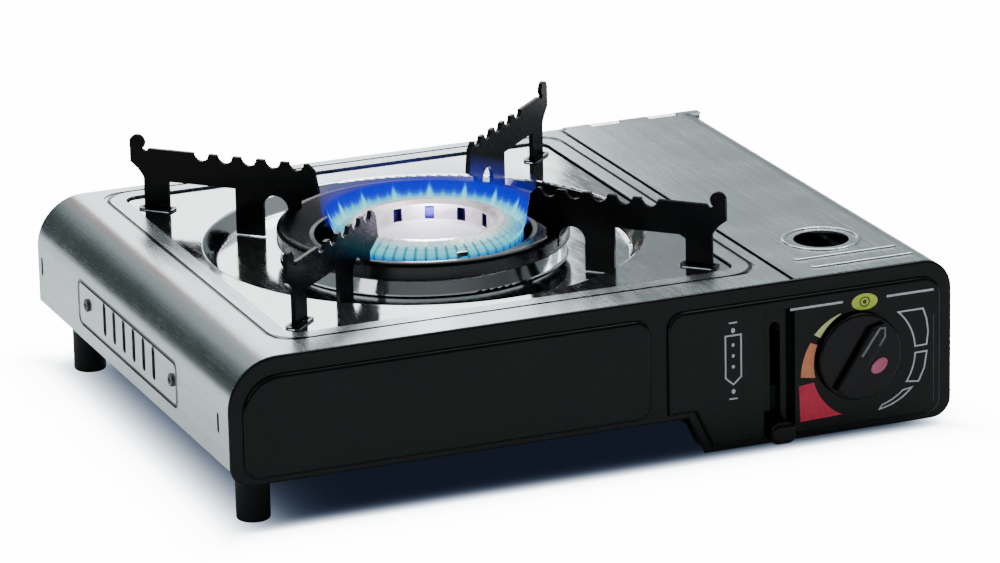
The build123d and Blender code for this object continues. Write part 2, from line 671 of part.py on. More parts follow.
TUBE_MOUTH = 97.0        # open end of the mixing tube, over the jet
TUBE_BEND = 36.0
TUBE_TURN_X = BURNER_X + 80.5
with BuildPart() as mixing_tube:
    with BuildLine() as tube_path:
        FilletPolyline(
            (TUBE_MOUTH, JET_Y, JET_Z),
            (TUBE_TURN_X, JET_Y, JET_Z),
            (TUBE_TURN_X, BURNER_Y, JET_Z),
            (BURNER_X + BASE_RADIUS + 1.2, BURNER_Y, JET_Z),
            radius=TUBE_BEND,
        )
    with BuildSketch(Plane(tube_path.line @ 0, z_dir=tube_path.line % 0)):
        Circle(TUBE_RADIUS - 0.05)
        Circle(TUBE_RADIUS - 1.05, mode=Mode.SUBTRACT)
    sweep(path=tube_path.line)
mixing_tube.part.label = "mixing_tube"
export_step(mixing_tube.part, "parts/mixing_tube.step")

# ---- ignition -----------------------------------------------------------------------
INSULATOR_LOW = 44.5
INSULATOR_HIGH = 73.0
with BuildPart() as electrode_insulator:
    with BuildSketch(Plane((SPARK_X, SPARK_Y, 0), x_dir=(1, 0, 0), z_dir=(0, -1, 0))):
        with BuildLine():
            Polyline(
                (1.0, INSULATOR_LOW),
                (2.4, INSULATOR_LOW),
                (2.4, 56.0),
                (3.4, 56.0),
                (3.4, 59.0),
                (2.4, 60.0),
                (2.2, INSULATOR_HIGH),
                (1.0, INSULATOR_HIGH),
                close=True,
            )
        make_face()
    revolve(axis=Axis((SPARK_X, SPARK_Y, 0), (0, 0, 1)))
electrode_insulator.part.label = "electrode_insulator"
export_step(electrode_insulator.part, "parts/electrode_insulator.step")

SPARK_TOP = HEAD_TOP - 2.5
with BuildPart() as spark_electrode:
    with BuildSketch(level(INSULATOR_LOW)):
        with Locations((SPARK_X, SPARK_Y)):
            Circle(1.0)
    extrude(amount=SPARK_TOP - INSULATOR_LOW)
    with BuildSketch(level(SPARK_TOP - 2.0)):
        with Locations((SPARK_X + 1.5, SPARK_Y)):
            Rectangle(5.0, 1.8)
    extrude(amount=2.0)
spark_electrode.part.label = "spark_electrode"
export_step(spark_electrode.part, "parts/spark_electrode.step")

CLIP_WIDTH = 8.0
CLIP_HEIGHT = 55.0       # underside of the clip that holds the insulator
with BuildPart() as electrode_bracket:
    with BuildSketch(level(CLIP_HEIGHT)):
        with Locations((SPARK_X, SPARK_Y)):
            Rectangle(CLIP_WIDTH, CLIP_WIDTH)
            Circle(2.45, mode=Mode.SUBTRACT)
        with Locations((SPARK_X, SPARK_Y - 4.75)):
            Rectangle(CLIP_WIDTH, 1.5)
    extrude(amount=SHEET)
    with BuildSketch(level(CLIP_HEIGHT)):
        with Locations((SPARK_X, SPARK_Y - 5.0)):
            Rectangle(CLIP_WIDTH, SHEET)
    extrude(amount=-(CLIP_HEIGHT - STRAP_TOP))
    with BuildSketch(level(STRAP_TOP)):
        with Locations((SPARK_X, SPARK_Y - 7.5)):
            Rectangle(CLIP_WIDTH, 6.0)
    extrude(amount=SHEET)
electrode_bracket.part.label = "electrode_bracket"
export_step(electrode_bracket.part, "parts/electrode_bracket.step")

PIEZO_LEFT = 141.0
PIEZO_SIDE = 10.0
PIEZO_RIGHT = 161.0
PIEZO_Y = -120.5
TERMINAL_X = PIEZO_RIGHT - 5.0
TERMINAL_HEIGHT = 3.0
CAM_RADIUS = 11.5        # knob axis to the tip of the cam that presses the plunger
CAM_HUB = 8.5
with BuildPart() as piezo_body:
    with BuildSketch(sideways(PIEZO_LEFT)):
        with Locations((PIEZO_Y, KNOB_Z)):
            RectangleRounded(PIEZO_SIDE, PIEZO_SIDE, 1.5)
    extrude(amount=PIEZO_RIGHT - PIEZO_LEFT)
    with BuildSketch(sideways(PIEZO_LEFT)):
        with Locations((PIEZO_Y, KNOB_Z)):
            Circle(3.1)
    extrude(amount=12, mode=Mode.SUBTRACT)
    # terminal that the lead is clipped on
    with BuildSketch(level(KNOB_Z + PIEZO_SIDE / 2)):
        with Locations((TERMINAL_X, PIEZO_Y)):
            Circle(2.2)
    extrude(amount=TERMINAL_HEIGHT)
piezo_body.part.label = "piezo_body"
export_step(piezo_body.part, "parts/piezo_body.step")

with BuildPart() as piezo_plunger:
    with BuildSketch(sideways(KNOB_X + CAM_RADIUS + 0.5)):
        with Locations((PIEZO_Y, KNOB_Z)):
            Circle(3.0)
    extrude(amount=PIEZO_LEFT + 7.5 - KNOB_X - CAM_RADIUS - 0.5)
    fillet(piezo_plunger.edges().group_by(Axis.X)[0], 1.0)
piezo_plunger.part.label = "piezo_plunger"
export_step(piezo_plunger.part, "parts/piezo_plunger.step")

LEAD_RADIUS = 1.2
LEAD_HIGH = 69.0
with BuildPart() as igniter_lead:
    with BuildLine() as lead_path:
        FilletPolyline(
            (TERMINAL_X, PIEZO_Y, KNOB_Z + PIEZO_SIDE / 2 + TERMINAL_HEIGHT),
            (TERMINAL_X, PIEZO_Y, LEAD_HIGH),
            (0, PIEZO_Y, LEAD_HIGH),
            (SPARK_X - 13, PIEZO_Y + 34, LEAD_HIGH - 30),
            (SPARK_X - 13, SPARK_Y, LEAD_HIGH - 31),
            (SPARK_X, SPARK_Y, LEAD_HIGH - 31),
            (SPARK_X, SPARK_Y, INSULATOR_LOW),
            radius=[9, 14, 14, 6, 4],
        )
    with BuildSketch(Plane(lead_path.line @ 0, z_dir=lead_path.line % 0)):
        Circle(LEAD_RADIUS)
    sweep(path=lead_path.line)
igniter_lead.part.label = "igniter_lead"
export_step(igniter_lead.part, "parts/igniter_lead.step")

# ---- gas valve ----------------------------------------------------------------------
VALVE_LEFT = 107.0
VALVE_RIGHT = 147.0
VALVE_FRONT = -112.0
VALVE_REAR = -86.0
VALVE_LOW = 26.0
VALVE_HIGH = 64.0
SPINDLE_END = VALVE_FRONT + 14.0

with BuildPart() as regulator_body:
    with BuildSketch(upright(VALVE_FRONT)):
        with Locations(((VALVE_LEFT + VALVE_RIGHT) / 2, (VALVE_LOW + VALVE_HIGH) / 2)):
            RectangleRounded(VALVE_RIGHT - VALVE_LEFT, VALVE_HIGH - VALVE_LOW, 5)
    extrude(amount=-(VALVE_REAR - VALVE_FRONT))
    with BuildSketch(upright(VALVE_FRONT)):
        with Locations((KNOB_X, KNOB_Z)):
            Circle(7)
    extrude(amount=4)
    with BuildSketch(upright(VALVE_FRONT - 4)):
        with Locations((KNOB_X, KNOB_Z)):
            Circle(SPINDLE_RADIUS + 0.05)
    extrude(amount=-(SPINDLE_END + 0.5 - VALVE_FRONT + 4), mode=Mode.SUBTRACT)
    with BuildSketch(sideways(VALVE_LEFT)):
        with Locations((JET_Y, JET_Z)):
            Circle(3.0)
    extrude(amount=8, mode=Mode.SUBTRACT)
    with BuildSketch(upright(VALVE_REAR)):
        with Locations((CARTRIDGE_X, CARTRIDGE_Z)):
            Circle(4.0)
    extrude(amount=8, mode=Mode.SUBTRACT)
regulator_body.part.label = "regulator_body"
export_step(regulator_body.part, "parts/regulator_body.step")

CAP_Y = -99.5
CAP_Z = 45.0
CAP_SCREWS = 10.4        # cap centre to its screws
CAP_PLATE = 3.0
with BuildPart() as regulator_cap:
    with BuildSketch(sideways(VALVE_RIGHT)):
        with Locations((CAP_Y, CAP_Z)):
            Circle(13)
            with PolarLocations(CAP_SCREWS, 4, start_angle=45):
                Circle(1.6, mode=Mode.SUBTRACT)
    extrude(amount=CAP_PLATE)
    with BuildSketch(sideways(VALVE_RIGHT + CAP_PLATE)):
        with Locations((CAP_Y, CAP_Z)):
            Circle(7.5)
    extrude(amount=6, taper=15)
regulator_cap.part.label = "regulator_cap"
export_step(regulator_cap.part, "parts/regulator_cap.step")

cap_screw = screw(2.9, 1.5, 2.4, 1.6)
with BuildPart() as regulator_screws:
    with Locations(seat(VALVE_RIGHT + CAP_PLATE, CAP_Y, CAP_Z, (1, 0, 0))):
        with PolarLocations(CAP_SCREWS, 4, start_angle=45):
            add(cap_screw)
regulator_screws.part.label = "regulator_screws"
export_step(regulator_screws.part, "parts/regulator_screws.step")

with BuildPart() as gas_jet:
    with BuildSketch(sideways(VALVE_LEFT)):
        with Locations((JET_Y, JET_Z)):
            RegularPolygon(4.6, 6)
    extrude(amount=-5)
    with BuildSketch(sideways(VALVE_LEFT - 5)):
        with Locations((JET_Y, JET_Z)):
            Circle(3.0)
    extrude(amount=-8, taper=8)
    with BuildSketch(sideways(VALVE_LEFT)):
        with Locations((JET_Y, JET_Z)):
            Circle(3.0)
    extrude(amount=6)
    with BuildSketch(sideways(VALVE_LEFT + 6)):
        with Locations((JET_Y, JET_Z)):
            Circle(0.6)
    extrude(amount=-20, mode=Mode.SUBTRACT)
gas_jet.part.label = "gas_jet"
export_step(gas_jet.part, "parts/gas_jet.step")

SOCKET_REAR = VALVE_REAR + 12.0
SOCKET_RADIUS = 20.0
GAS_HOLE = 4.0
with BuildPart() as cartridge_socket:
    with BuildSketch(upright(VALVE_REAR)):
        with Locations((CARTRIDGE_X, CARTRIDGE_Z)):
            Circle(SOCKET_RADIUS)
            Circle(GAS_HOLE, mode=Mode.SUBTRACT)
    extrude(amount=-3)
    with BuildSketch(upright(VALVE_REAR + 3)):
        with Locations((CARTRIDGE_X, CARTRIDGE_Z)):
            Circle(SOCKET_RADIUS)
            Circle(SOCKET_RADIUS - 3.5, mode=Mode.SUBTRACT)
    extrude(amount=-9)
    with BuildSketch(upright(SOCKET_REAR)):
        with Locations((CARTRIDGE_X, CARTRIDGE_Z + 18)):
            Rectangle(6.2, 10)
    extrude(amount=6, mode=Mode.SUBTRACT)
cartridge_socket.part.label = "cartridge_socket"
export_step(cartridge_socket.part, "parts/cartridge_socket.step")

with BuildPart() as alignment_key:
    with BuildSketch(upright(SOCKET_REAR + 4)):
        with Locations((CARTRIDGE_X, CARTRIDGE_Z + 19)):
            Rectangle(6.0, 3)
    extrude(amount=10)
alignment_key.part.label = "alignment_key"
export_step(alignment_key.part, "parts/alignment_key.step")

with BuildPart() as socket_seal:
    with BuildSketch(upright(VALVE_REAR + 3)):
        with Locations((CARTRIDGE_X, CARTRIDGE_Z)):
            Circle(7.0)
            Circle(GAS_HOLE, mode=Mode.SUBTRACT)
    extrude(amount=-2.5)
    fillet(socket_seal.edges().group_by(Axis.Y)[-1], 0.8)
socket_seal.part.label = "socket_seal"
export_step(socket_seal.part, "parts/socket_seal.step")

with BuildPart() as regulator_bracket:
    with BuildSketch(sideways(112)):
        with BuildLine():
            FilletPolyline(
                (VALVE_REAR, BAY_FLOOR + half),
                (VALVE_FRONT + 3, BAY_FLOOR + half),
                (VALVE_FRONT + 3, VALVE_LOW - half),
                (VALVE_REAR, VALVE_LOW - half),
                radius=2.0,
            )
        trace(line_width=SHEET)
    extrude(amount=28)
regulator_bracket.part.label = "regulator_bracket"
export_step(regulator_bracket.part, "parts/regulator_bracket.step")

# ---- knob ---------------------------------------------------------------------------
KNOB_FRONT = FRONT - KNOB_PROUD
KNOB_BACK = FRONT - FIELD_PROUD - 0.5
KNOB_FACE = KNOB_FRONT + 3.2
GRIP_ANGLE = 54.0
with BuildPart() as valve_spindle:
    with BuildSketch(upright(SPINDLE_END)):
        with Locations((KNOB_X, KNOB_Z)):
            Circle(SPINDLE_RADIUS)
    extrude(amount=SPINDLE_END - KNOB_FACE)
valve_spindle.part.label = "valve_spindle"
export_step(valve_spindle.part, "parts/valve_spindle.step")

with BuildPart() as igniter_cam:
    with BuildSketch(upright(PIEZO_Y + 2.5)):
        with Locations((KNOB_X, KNOB_Z)):
            Circle(CAM_HUB)
        with BuildLine():
            Polyline(
                (KNOB_X, KNOB_Z + CAM_HUB),
                (KNOB_X + CAM_RADIUS * sin(radians(20)), KNOB_Z + CAM_RADIUS * cos(radians(20))),
                (KNOB_X + CAM_HUB * sin(radians(50)), KNOB_Z + CAM_HUB * cos(radians(50))),
                (KNOB_X, KNOB_Z),
                close=True,
            )
        make_face()
        with Locations((KNOB_X, KNOB_Z)):
            Circle(SPINDLE_RADIUS, mode=Mode.SUBTRACT)
    extrude(amount=5)
igniter_cam.part.label = "igniter_cam"
export_step(igniter_cam.part, "parts/igniter_cam.step")

with BuildPart() as knob:
    with BuildSketch(upright(KNOB_BACK)):
        with Locations((KNOB_X, KNOB_Z)):
            Circle(KNOB_RADIUS)
    extrude(amount=KNOB_BACK - KNOB_FACE)
    fillet(knob.edges().group_by(Axis.Y)[0], 1.2)
    # grip bar across the face, pointed at the end that shows the setting
    grip_along = (cos(radians(GRIP_ANGLE)), 0, sin(radians(GRIP_ANGLE)))
    with BuildSketch(Plane((KNOB_X, KNOB_FACE, KNOB_Z), x_dir=grip_along, z_dir=(0, -1, 0))):
        with BuildLine():
            Polyline((-18.2, -3.2), (13.0, -4.6), (18.4, 0), (13.0, 4.6), (-18.2, 3.2), close=True)
        make_face()
    extrude(amount=KNOB_FACE - KNOB_FRONT)
    fillet(knob.faces().sort_by(Axis.Y)[0].outer_wire().edges(), 0.9)
    with BuildSketch(upright(KNOB_BACK)):
        with Locations((KNOB_X, KNOB_Z)):
            Circle(SPINDLE_RADIUS)
    extrude(amount=KNOB_BACK - KNOB_FACE, mode=Mode.SUBTRACT)
knob.part.label = "knob"
export_step(knob.part, "parts/knob.step")

with BuildPart() as knob_marker:
    with BuildSketch(upright(KNOB_FACE)):
        with Locations(Location((KNOB_X + 8.8, KNOB_Z - 5.0), 35)):
            Ellipse(4.4, 2.9)
    extrude(amount=0.5)
knob_marker.part.label = "knob_marker"
export_step(knob_marker.part, "parts/knob_marker.step")

# ---- locking lever, crank and cartridge carriage ------------------------------------
LEVER_PLATE = FRONT + 4.0            # front face of the lever's plate inside the case
LEVER_SHEET = 1.5
LEVER_FOOT = 8.6
LEVER_HEAD = 30.0
NECK_HEIGHT = 3.6
NECK_END = FRONT - 4.5
with BuildPart() as lock_lever:
    with BuildSketch(upright(LEVER_PLATE + LEVER_SHEET)):
        with Locations((LEVER_X, (LEVER_FOOT + LEVER_HEAD) / 2)):
            RectangleRounded(11, LEVER_HEAD - LEVER_FOOT, 2)
    extrude(amount=LEVER_SHEET)
    # neck that passes out through the slot
    with BuildSketch(upright(LEVER_PLATE)):
        with Locations((LEVER_X, LEVER_Z)):
            Rectangle(SLOT_WIDTH - 0.8, NECK_HEIGHT)
    extrude(amount=LEVER_PLATE - NECK_END)
    # ear and pin that move the crank
    with BuildSketch(sideways(LEVER_X - 5.5)):
        with Locations(((LEVER_PLATE + 0.2 + LEVER_PIN_Y + 3) / 2, LEVER_PIN_Z)):
            Rectangle(LEVER_PIN_Y + 3 - LEVER_PLATE - 0.2, 8)
    extrude(amount=1.2)
    with BuildSketch(sideways(LEVER_X - 5.0)):
        with Locations((LEVER_PIN_Y, LEVER_PIN_Z)):
            Circle(1.5)
    extrude(amount=-12.5)
lock_lever.part.label = "lock_lever"
export_step(lock_lever.part, "parts/lock_lever.step")

GRIP_BACK = FRONT + 0.8
GRIP_FOOT = FRONT - FIELD_PROUD - 0.5
with BuildPart() as lever_grip:
    with BuildSketch(upright(GRIP_BACK)):
        with Locations((LEVER_X, LEVER_Z)):
            RectangleRounded(11.0, 4.6, 2.0)
    extrude(amount=GRIP_BACK - GRIP_FOOT)
    with BuildSketch(upright(GRIP_FOOT)):
        with Locations((LEVER_X, LEVER_Z)):
            RectangleRounded(12.6, 10.4, 4.2)
    extrude(amount=5.0)
    fillet(lever_grip.faces().sort_by(Axis.Y)[0].edges(), 2.6)
    with BuildSketch(upright(GRIP_BACK + 1)):
        with Locations((LEVER_X, LEVER_Z)):
            Rectangle(SLOT_WIDTH - 0.8, NECK_HEIGHT)
    extrude(amount=GRIP_BACK + 1 - NECK_END, mode=Mode.SUBTRACT)
lever_grip.part.label = "lever_grip"
export_step(lever_grip.part, "parts/lever_grip.step")

FORK_LEFT = 69.0
CRANK_HUB = 3.6
SHORT_LEFT = 63.0
with BuildPart() as bell_crank:
    with BuildSketch(sideways(SHORT_LEFT)):
        with Locations((CRANK_Y, CRANK_Z)):
            Circle(CRANK_HUB)
    extrude(amount=FORK_LEFT + 3 - SHORT_LEFT)
    # long arm: a fork around the lever's pin, drawn at its locked angle
    with BuildSketch(sideways(FORK_LEFT)):
        with Locations(Location((CRANK_Y, CRANK_Z), 180 + CRANK_SWING)):
            with Locations((16.0, 0)):
                Rectangle(32, 9.2)
            with Locations((26.6, 0)):
                SlotOverall(18, 5.4, mode=Mode.SUBTRACT)
    extrude(amount=3)
    # short arm: pushes the carriage
    with BuildSketch(sideways(SHORT_LEFT)):
        with Locations(Location((CRANK_Y, CRANK_Z), 90 + CRANK_SWING)):
            with Locations((CRANK_SHORT / 2, 0)):
                Rectangle(CRANK_SHORT, 2.4)
            with Locations((CRANK_SHORT, 0)):
                Circle(2.2)
    extrude(amount=3)
    with BuildSketch(sideways(SHORT_LEFT)):
        with Locations((CRANK_Y, CRANK_Z)):
            Circle(2.05)
    extrude(amount=12, mode=Mode.SUBTRACT)
bell_crank.part.label = "bell_crank"
export_step(bell_crank.part, "parts/bell_crank.step")

with BuildPart() as crank_pivot_pin:
    with BuildSketch(sideways(SHORT_LEFT - 1.5)):
        with Locations((CRANK_Y, CRANK_Z)):
            Circle(2.0)
    extrude(amount=PARTITION + SHEET + 0.4 - SHORT_LEFT + 1.5)
    with BuildSketch(sideways(SHORT_LEFT - 1.5)):
        with Locations((CRANK_Y, CRANK_Z)):
            Circle(3.2)
    extrude(amount=1.2)
    with BuildSketch(sideways(PARTITION - 0.8)):
        with Locations((CRANK_Y, CRANK_Z)):
            Circle(3.4)
    extrude(amount=0.8)
crank_pivot_pin.part.label = "crank_pivot_pin"
export_step(crank_pivot_pin.part, "parts/crank_pivot_pin.step")

CARRIAGE_LOW = BAY_FLOOR + 0.3
CARRIAGE_LEFT = 94.5
CARRIAGE_RIGHT = 146.0
CARRIAGE_REAR = 120.0
STOP_HEIGHT = 44.0       # top of the upright plate that pushes the cartridge
with BuildPart() as cartridge_carriage:
    with BuildSketch(level(CARRIAGE_LOW)):
        with BuildLine():
            Polyline(
                (CARRIAGE_LEFT, TONGUE_FRONT),
                (104.0, TONGUE_FRONT),
                (104.0, -70.0),
                (CARRIAGE_RIGHT, -70.0),
                (CARRIAGE_RIGHT, CARRIAGE_REAR),
                (112.0, CARRIAGE_REAR),
                (112.0, -60.0),
                (CARRIAGE_LEFT, -60.0),
                close=True,
            )
        make_face()
        with Locations((129.0, 0), (129.0, 70.0)):
            SlotOverall(50, 18, rotation=90, mode=Mode.SUBTRACT)
    extrude(amount=1.0)
    with BuildSketch(upright(CARRIAGE_REAR)):
        with Locations((CARTRIDGE_X - 2, (CARRIAGE_LOW + STOP_HEIGHT) / 2)):
            RectangleRounded(34, STOP_HEIGHT - CARRIAGE_LOW, 3)
        with Locations((CARTRIDGE_X - 2, CARRIAGE_LOW + 2)):
            Rectangle(34, 4)
    extrude(amount=1.2)
    # upstand and tongue that reach the crank through the partition
    with BuildSketch(level(CARRIAGE_LOW)):
        with Locations((CARRIAGE_LEFT + 0.75, (TONGUE_FRONT + TONGUE_REAR) / 2)):
            Rectangle(1.5, TONGUE_REAR - TONGUE_FRONT)
    extrude(amount=TONGUE_HIGH - CARRIAGE_LOW)
    with BuildSketch(level(TONGUE_LOW)):
        with Locations(((SHORT_LEFT - 1 + CARRIAGE_LEFT + 1.5) / 2, (TONGUE_FRONT + TONGUE_REAR) / 2)):
            Rectangle(CARRIAGE_LEFT + 2.5 - SHORT_LEFT, TONGUE_REAR - TONGUE_FRONT)
    extrude(amount=TONGUE_HIGH - TONGUE_LOW)
    with BuildSketch(level(TONGUE_LOW)):
        with Locations((SHORT_LEFT + 1.25, TONGUE_FRONT + 1.1), (SHORT_LEFT + 1.25, TONGUE_REAR - 1.1)):
            Rectangle(4.5, 2.2)
    extrude(amount=-4.2)
cartridge_carriage.part.label = "cartridge_carriage"
export_step(cartridge_carriage.part, "parts/cartridge_carriage.step")

with BuildPart() as carriage_rails:
    for edge, inward in ((111.6, 1), (CARRIAGE_RIGHT + 0.4, -1)):
        with BuildSketch(upright(-45.0)):
            with BuildLine():
                Polyline(
                    (edge - inward * 5.0, BAY_FLOOR),
                    (edge, BAY_FLOOR),
                    (edge, BAY_FLOOR + 1.7),
                    (edge + inward * 2.4, BAY_FLOOR + 1.7),
                    (edge + inward * 2.4, BAY_FLOOR + 2.5),
                    (edge - inward * 0.8, BAY_FLOOR + 2.5),
                    (edge - inward * 0.8, BAY_FLOOR + 0.8),
                    (edge - inward * 5.0, BAY_FLOOR + 0.8),
                    close=True,
                )
            make_face()
        extrude(amount=-140.0)
carriage_rails.part.label = "carriage_rails"
export_step(carriage_rails.part, "parts/carriage_rails.step")

# ---- lid and its hinge --------------------------------------------------------------
LID_LEFT = SPLIT + 1.2
LID_FRONT = FRONT + 0.3
LID_SIDE_LOW = SIDE_PANEL_TOP + 1.0
KNUCKLES_LID = ((96.0, 109.0), (125.0, 139.0), (154.5, 166.0))
KNUCKLES_CASE = ((109.6, 124.4), (139.6, 153.9))
FINGER_X = 129.7
FINGER_Y = MID_Y - 84.1
FINGER_RADIUS = 12.5

with BuildPart() as lid:
    with BuildSketch(upright(LID_FRONT)):
        with BuildLine():
            FilletPolyline(
                (LID_LEFT, TOP - half),
                (RIGHT - half, TOP - half),
                (RIGHT - half, LID_SIDE_LOW),
                radius=LID_RADIUS - half,
            )
        trace(line_width=SHEET)
    extrude(amount=-(REAR - LID_FRONT - 4.0))
    # turned-down left edge, behind the front panel's flange
    with BuildSketch(upright(FRONT + 13.0)):
        with Locations((LID_LEFT + half, TOP - 3.5)):
            Rectangle(SHEET, 7)
    extrude(amount=-(REAR - FRONT - 17.0))
    with BuildSketch(level(TOP)):
        for start, end in KNUCKLES_LID:
            with Locations(((start + end) / 2, REAR - 2.2)):
                Rectangle(end - start, 4.4)
    extrude(amount=-SHEET)
    for start, end in KNUCKLES_LID:
        with BuildSketch(sideways(start)):
            with Locations((HINGE_Y, HINGE_Z)):
                Circle(HINGE_PROUD)
        extrude(amount=end - start)
    with BuildSketch(sideways(KNUCKLES_LID[0][0])):
        with Locations((HINGE_Y, HINGE_Z)):
            Circle(HINGE_PIN_RADIUS + 0.05)
    extrude(amount=KNUCKLES_LID[-1][1] - KNUCKLES_LID[0][0], mode=Mode.SUBTRACT)
    # finger hole with a pressed ring round it, and two pressed ribs
    with BuildSketch(level(TOP - 0.2)):
        with Locations((FINGER_X, FINGER_Y)):
            Circle(FINGER_RADIUS + 5.4)
            Circle(FINGER_RADIUS + 3.4, mode=Mode.SUBTRACT)
        with Locations((130.3, MID_Y - 107.5), (132.7, MID_Y - 120.5)):
            SlotOverall(50, 3.6)
    extrude(amount=0.9)
    fillet(lid.edges().filter_by_position(Axis.Z, TOP + 0.65, TOP + 0.75), 0.6)
    with BuildSketch(level(TOP + 1)):
        with Locations((FINGER_X, FINGER_Y)):
            Circle(FINGER_RADIUS)
    extrude(amount=-4, mode=Mode.SUBTRACT)
lid.part.label = "lid"
export_step(lid.part, "parts/lid.step")

with BuildPart() as hinge_bracket:
    for start, end in KNUCKLES_CASE:
        with BuildSketch(sideways(start)):
            with Locations((HINGE_Y, HINGE_Z)):
                Circle(HINGE_PROUD - 0.2)
            with Locations((REAR_PLATE + SHEET + half, HINGE_Z - 5.0)):
                Rectangle(SHEET, 10)
            with Locations((HINGE_Y, HINGE_Z)):
                Circle(HINGE_PIN_RADIUS, mode=Mode.SUBTRACT)
        extrude(amount=end - start)
    # leaf on the back of the rear panel
    with BuildSketch(upright(REAR_PLATE + SHEET)):
        with Locations(((KNUCKLES_CASE[0][0] + KNUCKLES_CASE[-1][1]) / 2, 62.0)):
            Rectangle(KNUCKLES_CASE[-1][1] - KNUCKLES_CASE[0][0], 13.0)
    extrude(amount=-SHEET)
hinge_bracket.part.label = "hinge_bracket"
export_step(hinge_bracket.part, "parts/hinge_bracket.step")

with BuildPart() as hinge_pin:
    with BuildSketch(sideways(LID_LEFT)):
        with Locations((HINGE_Y, HINGE_Z)):
            Circle(HINGE_PIN_RADIUS)
    extrude(amount=KNUCKLES_LID[-1][1] + 0.8 - LID_LEFT)
    with BuildSketch(sideways(LID_LEFT)):
        with Locations((HINGE_Y, HINGE_Z)):
            Circle(2.6)
    extrude(amount=1.6)
hinge_pin.part.label = "hinge_pin"
export_step(hinge_pin.part, "parts/hinge_pin.step")

# ---- drip pan -----------------------------------------------------------------------
DISH_RADIUS = 101.0
DISH_DROP = 8.0
COLLAR_RADIUS = 61.0
WELL_FLOOR = PAN_TOP - DISH_DROP     # top face of the dish floor
LEG_OUT = 133.2                      # middle of the outer legs, from the dish's middle
LEG_TOE_LENGTH = 12.4
arm_angles = (45, 135, 225, 315)

with BuildPart() as drip_pan:
    with BuildSketch(level(PAN_TOP - PAN_SHEET)):
        with Locations(pan_centre):
            RectangleRounded(pan_width - 2 * PAN_GAP, pan_depth - 2 * PAN_GAP, PAN_CORNER - PAN_GAP)
        with Locations((DISH_X, DISH_Y)):
            Circle(DISH_RADIUS, mode=Mode.SUBTRACT)
    extrude(amount=PAN_SHEET)
    # turned-down edge that stands on the deck's ledge
    with BuildSketch(level(TOP - LEDGE_DROP)):
        with Locations(pan_centre):
            RectangleRounded(pan_width - 2 * PAN_GAP, pan_depth - 2 * PAN_GAP, PAN_CORNER - PAN_GAP)
            RectangleRounded(
                pan_width - 2 * PAN_GAP - 2 * PAN_SHEET,
                pan_depth - 2 * PAN_GAP - 2 * PAN_SHEET,
                PAN_CORNER - PAN_GAP - PAN_SHEET,
                mode=Mode.SUBTRACT,
            )
    extrude(amount=PAN_TOP - PAN_SHEET / 2 - TOP + LEDGE_DROP)
    # round dish with a raised collar round the burner
    with BuildSketch(Plane((DISH_X, DISH_Y, 0), x_dir=(1, 0, 0), z_dir=(0, -1, 0))):
        with BuildLine():
            FilletPolyline(
                (DISH_RADIUS + 0.6, PAN_TOP - PAN_SHEET / 2),
                (DISH_RADIUS - 1.5, PAN_TOP - PAN_SHEET / 2),
                (DISH_RADIUS - 6.5, WELL_FLOOR - PAN_SHEET / 2),
                (COLLAR_RADIUS + 3.0, WELL_FLOOR - PAN_SHEET / 2),
                (COLLAR_RADIUS, PAN_TOP - 1.0),
                radius=[1.2, 3.0, 2.0],
            )
        trace(line_width=PAN_SHEET)
    revolve(axis=Axis((DISH_X, DISH_Y, 0), (0, 0, 1)))
    # shallow seats round the outer feet of the support
    with BuildSketch(above_dish(PAN_TOP - 0.1)):
        with PolarLocations(LEG_OUT, 4, start_angle=45):
            RectangleRounded(LEG_TOE_LENGTH + 5, 7, 2)
            RectangleRounded(LEG_TOE_LENGTH + 2, 4, 0.8, mode=Mode.SUBTRACT)
    extrude(amount=1.0)
drip_pan.part.label = "drip_pan"
export_step(drip_pan.part, "parts/drip_pan.step")

# ---- pan support --------------------------------------------------------------------
RING_RADIUS = 65.5
RING_SHEET = 1.4
RING_HOLE = 48.5
RING_TOP = TOP + 6.4
ARM_SHEET = 2.0
SHELF = 28.0             # top of the arms above the deck
UNDER = 13.0             # underside of the arms above the deck
TIP_HEIGHT = 34.0        # top of the pot stops above the deck

with BuildPart() as support_ring:
    with BuildSketch(Plane((DISH_X, DISH_Y, 0), x_dir=(1, 0, 0), z_dir=(0, -1, 0))):
        with BuildLine():
            FilletPolyline(
                (RING_RADIUS, PAN_TOP + 0.6),
                (RING_RADIUS, RING_TOP),
                (RING_RADIUS - 3.0, RING_TOP),
                (RING_HOLE + 3.0, TOP + 1.4),
                (RING_HOLE + 0.8, TOP + 1.4),
                radius=[1.2, 1.6, 1.6],
            )
        trace(line_width=RING_SHEET)
    revolve(axis=Axis((DISH_X, DISH_Y, 0), (0, 0, 1)))
support_ring.part.label = "support_ring"
export_step(support_ring.part, "parts/support_ring.step")

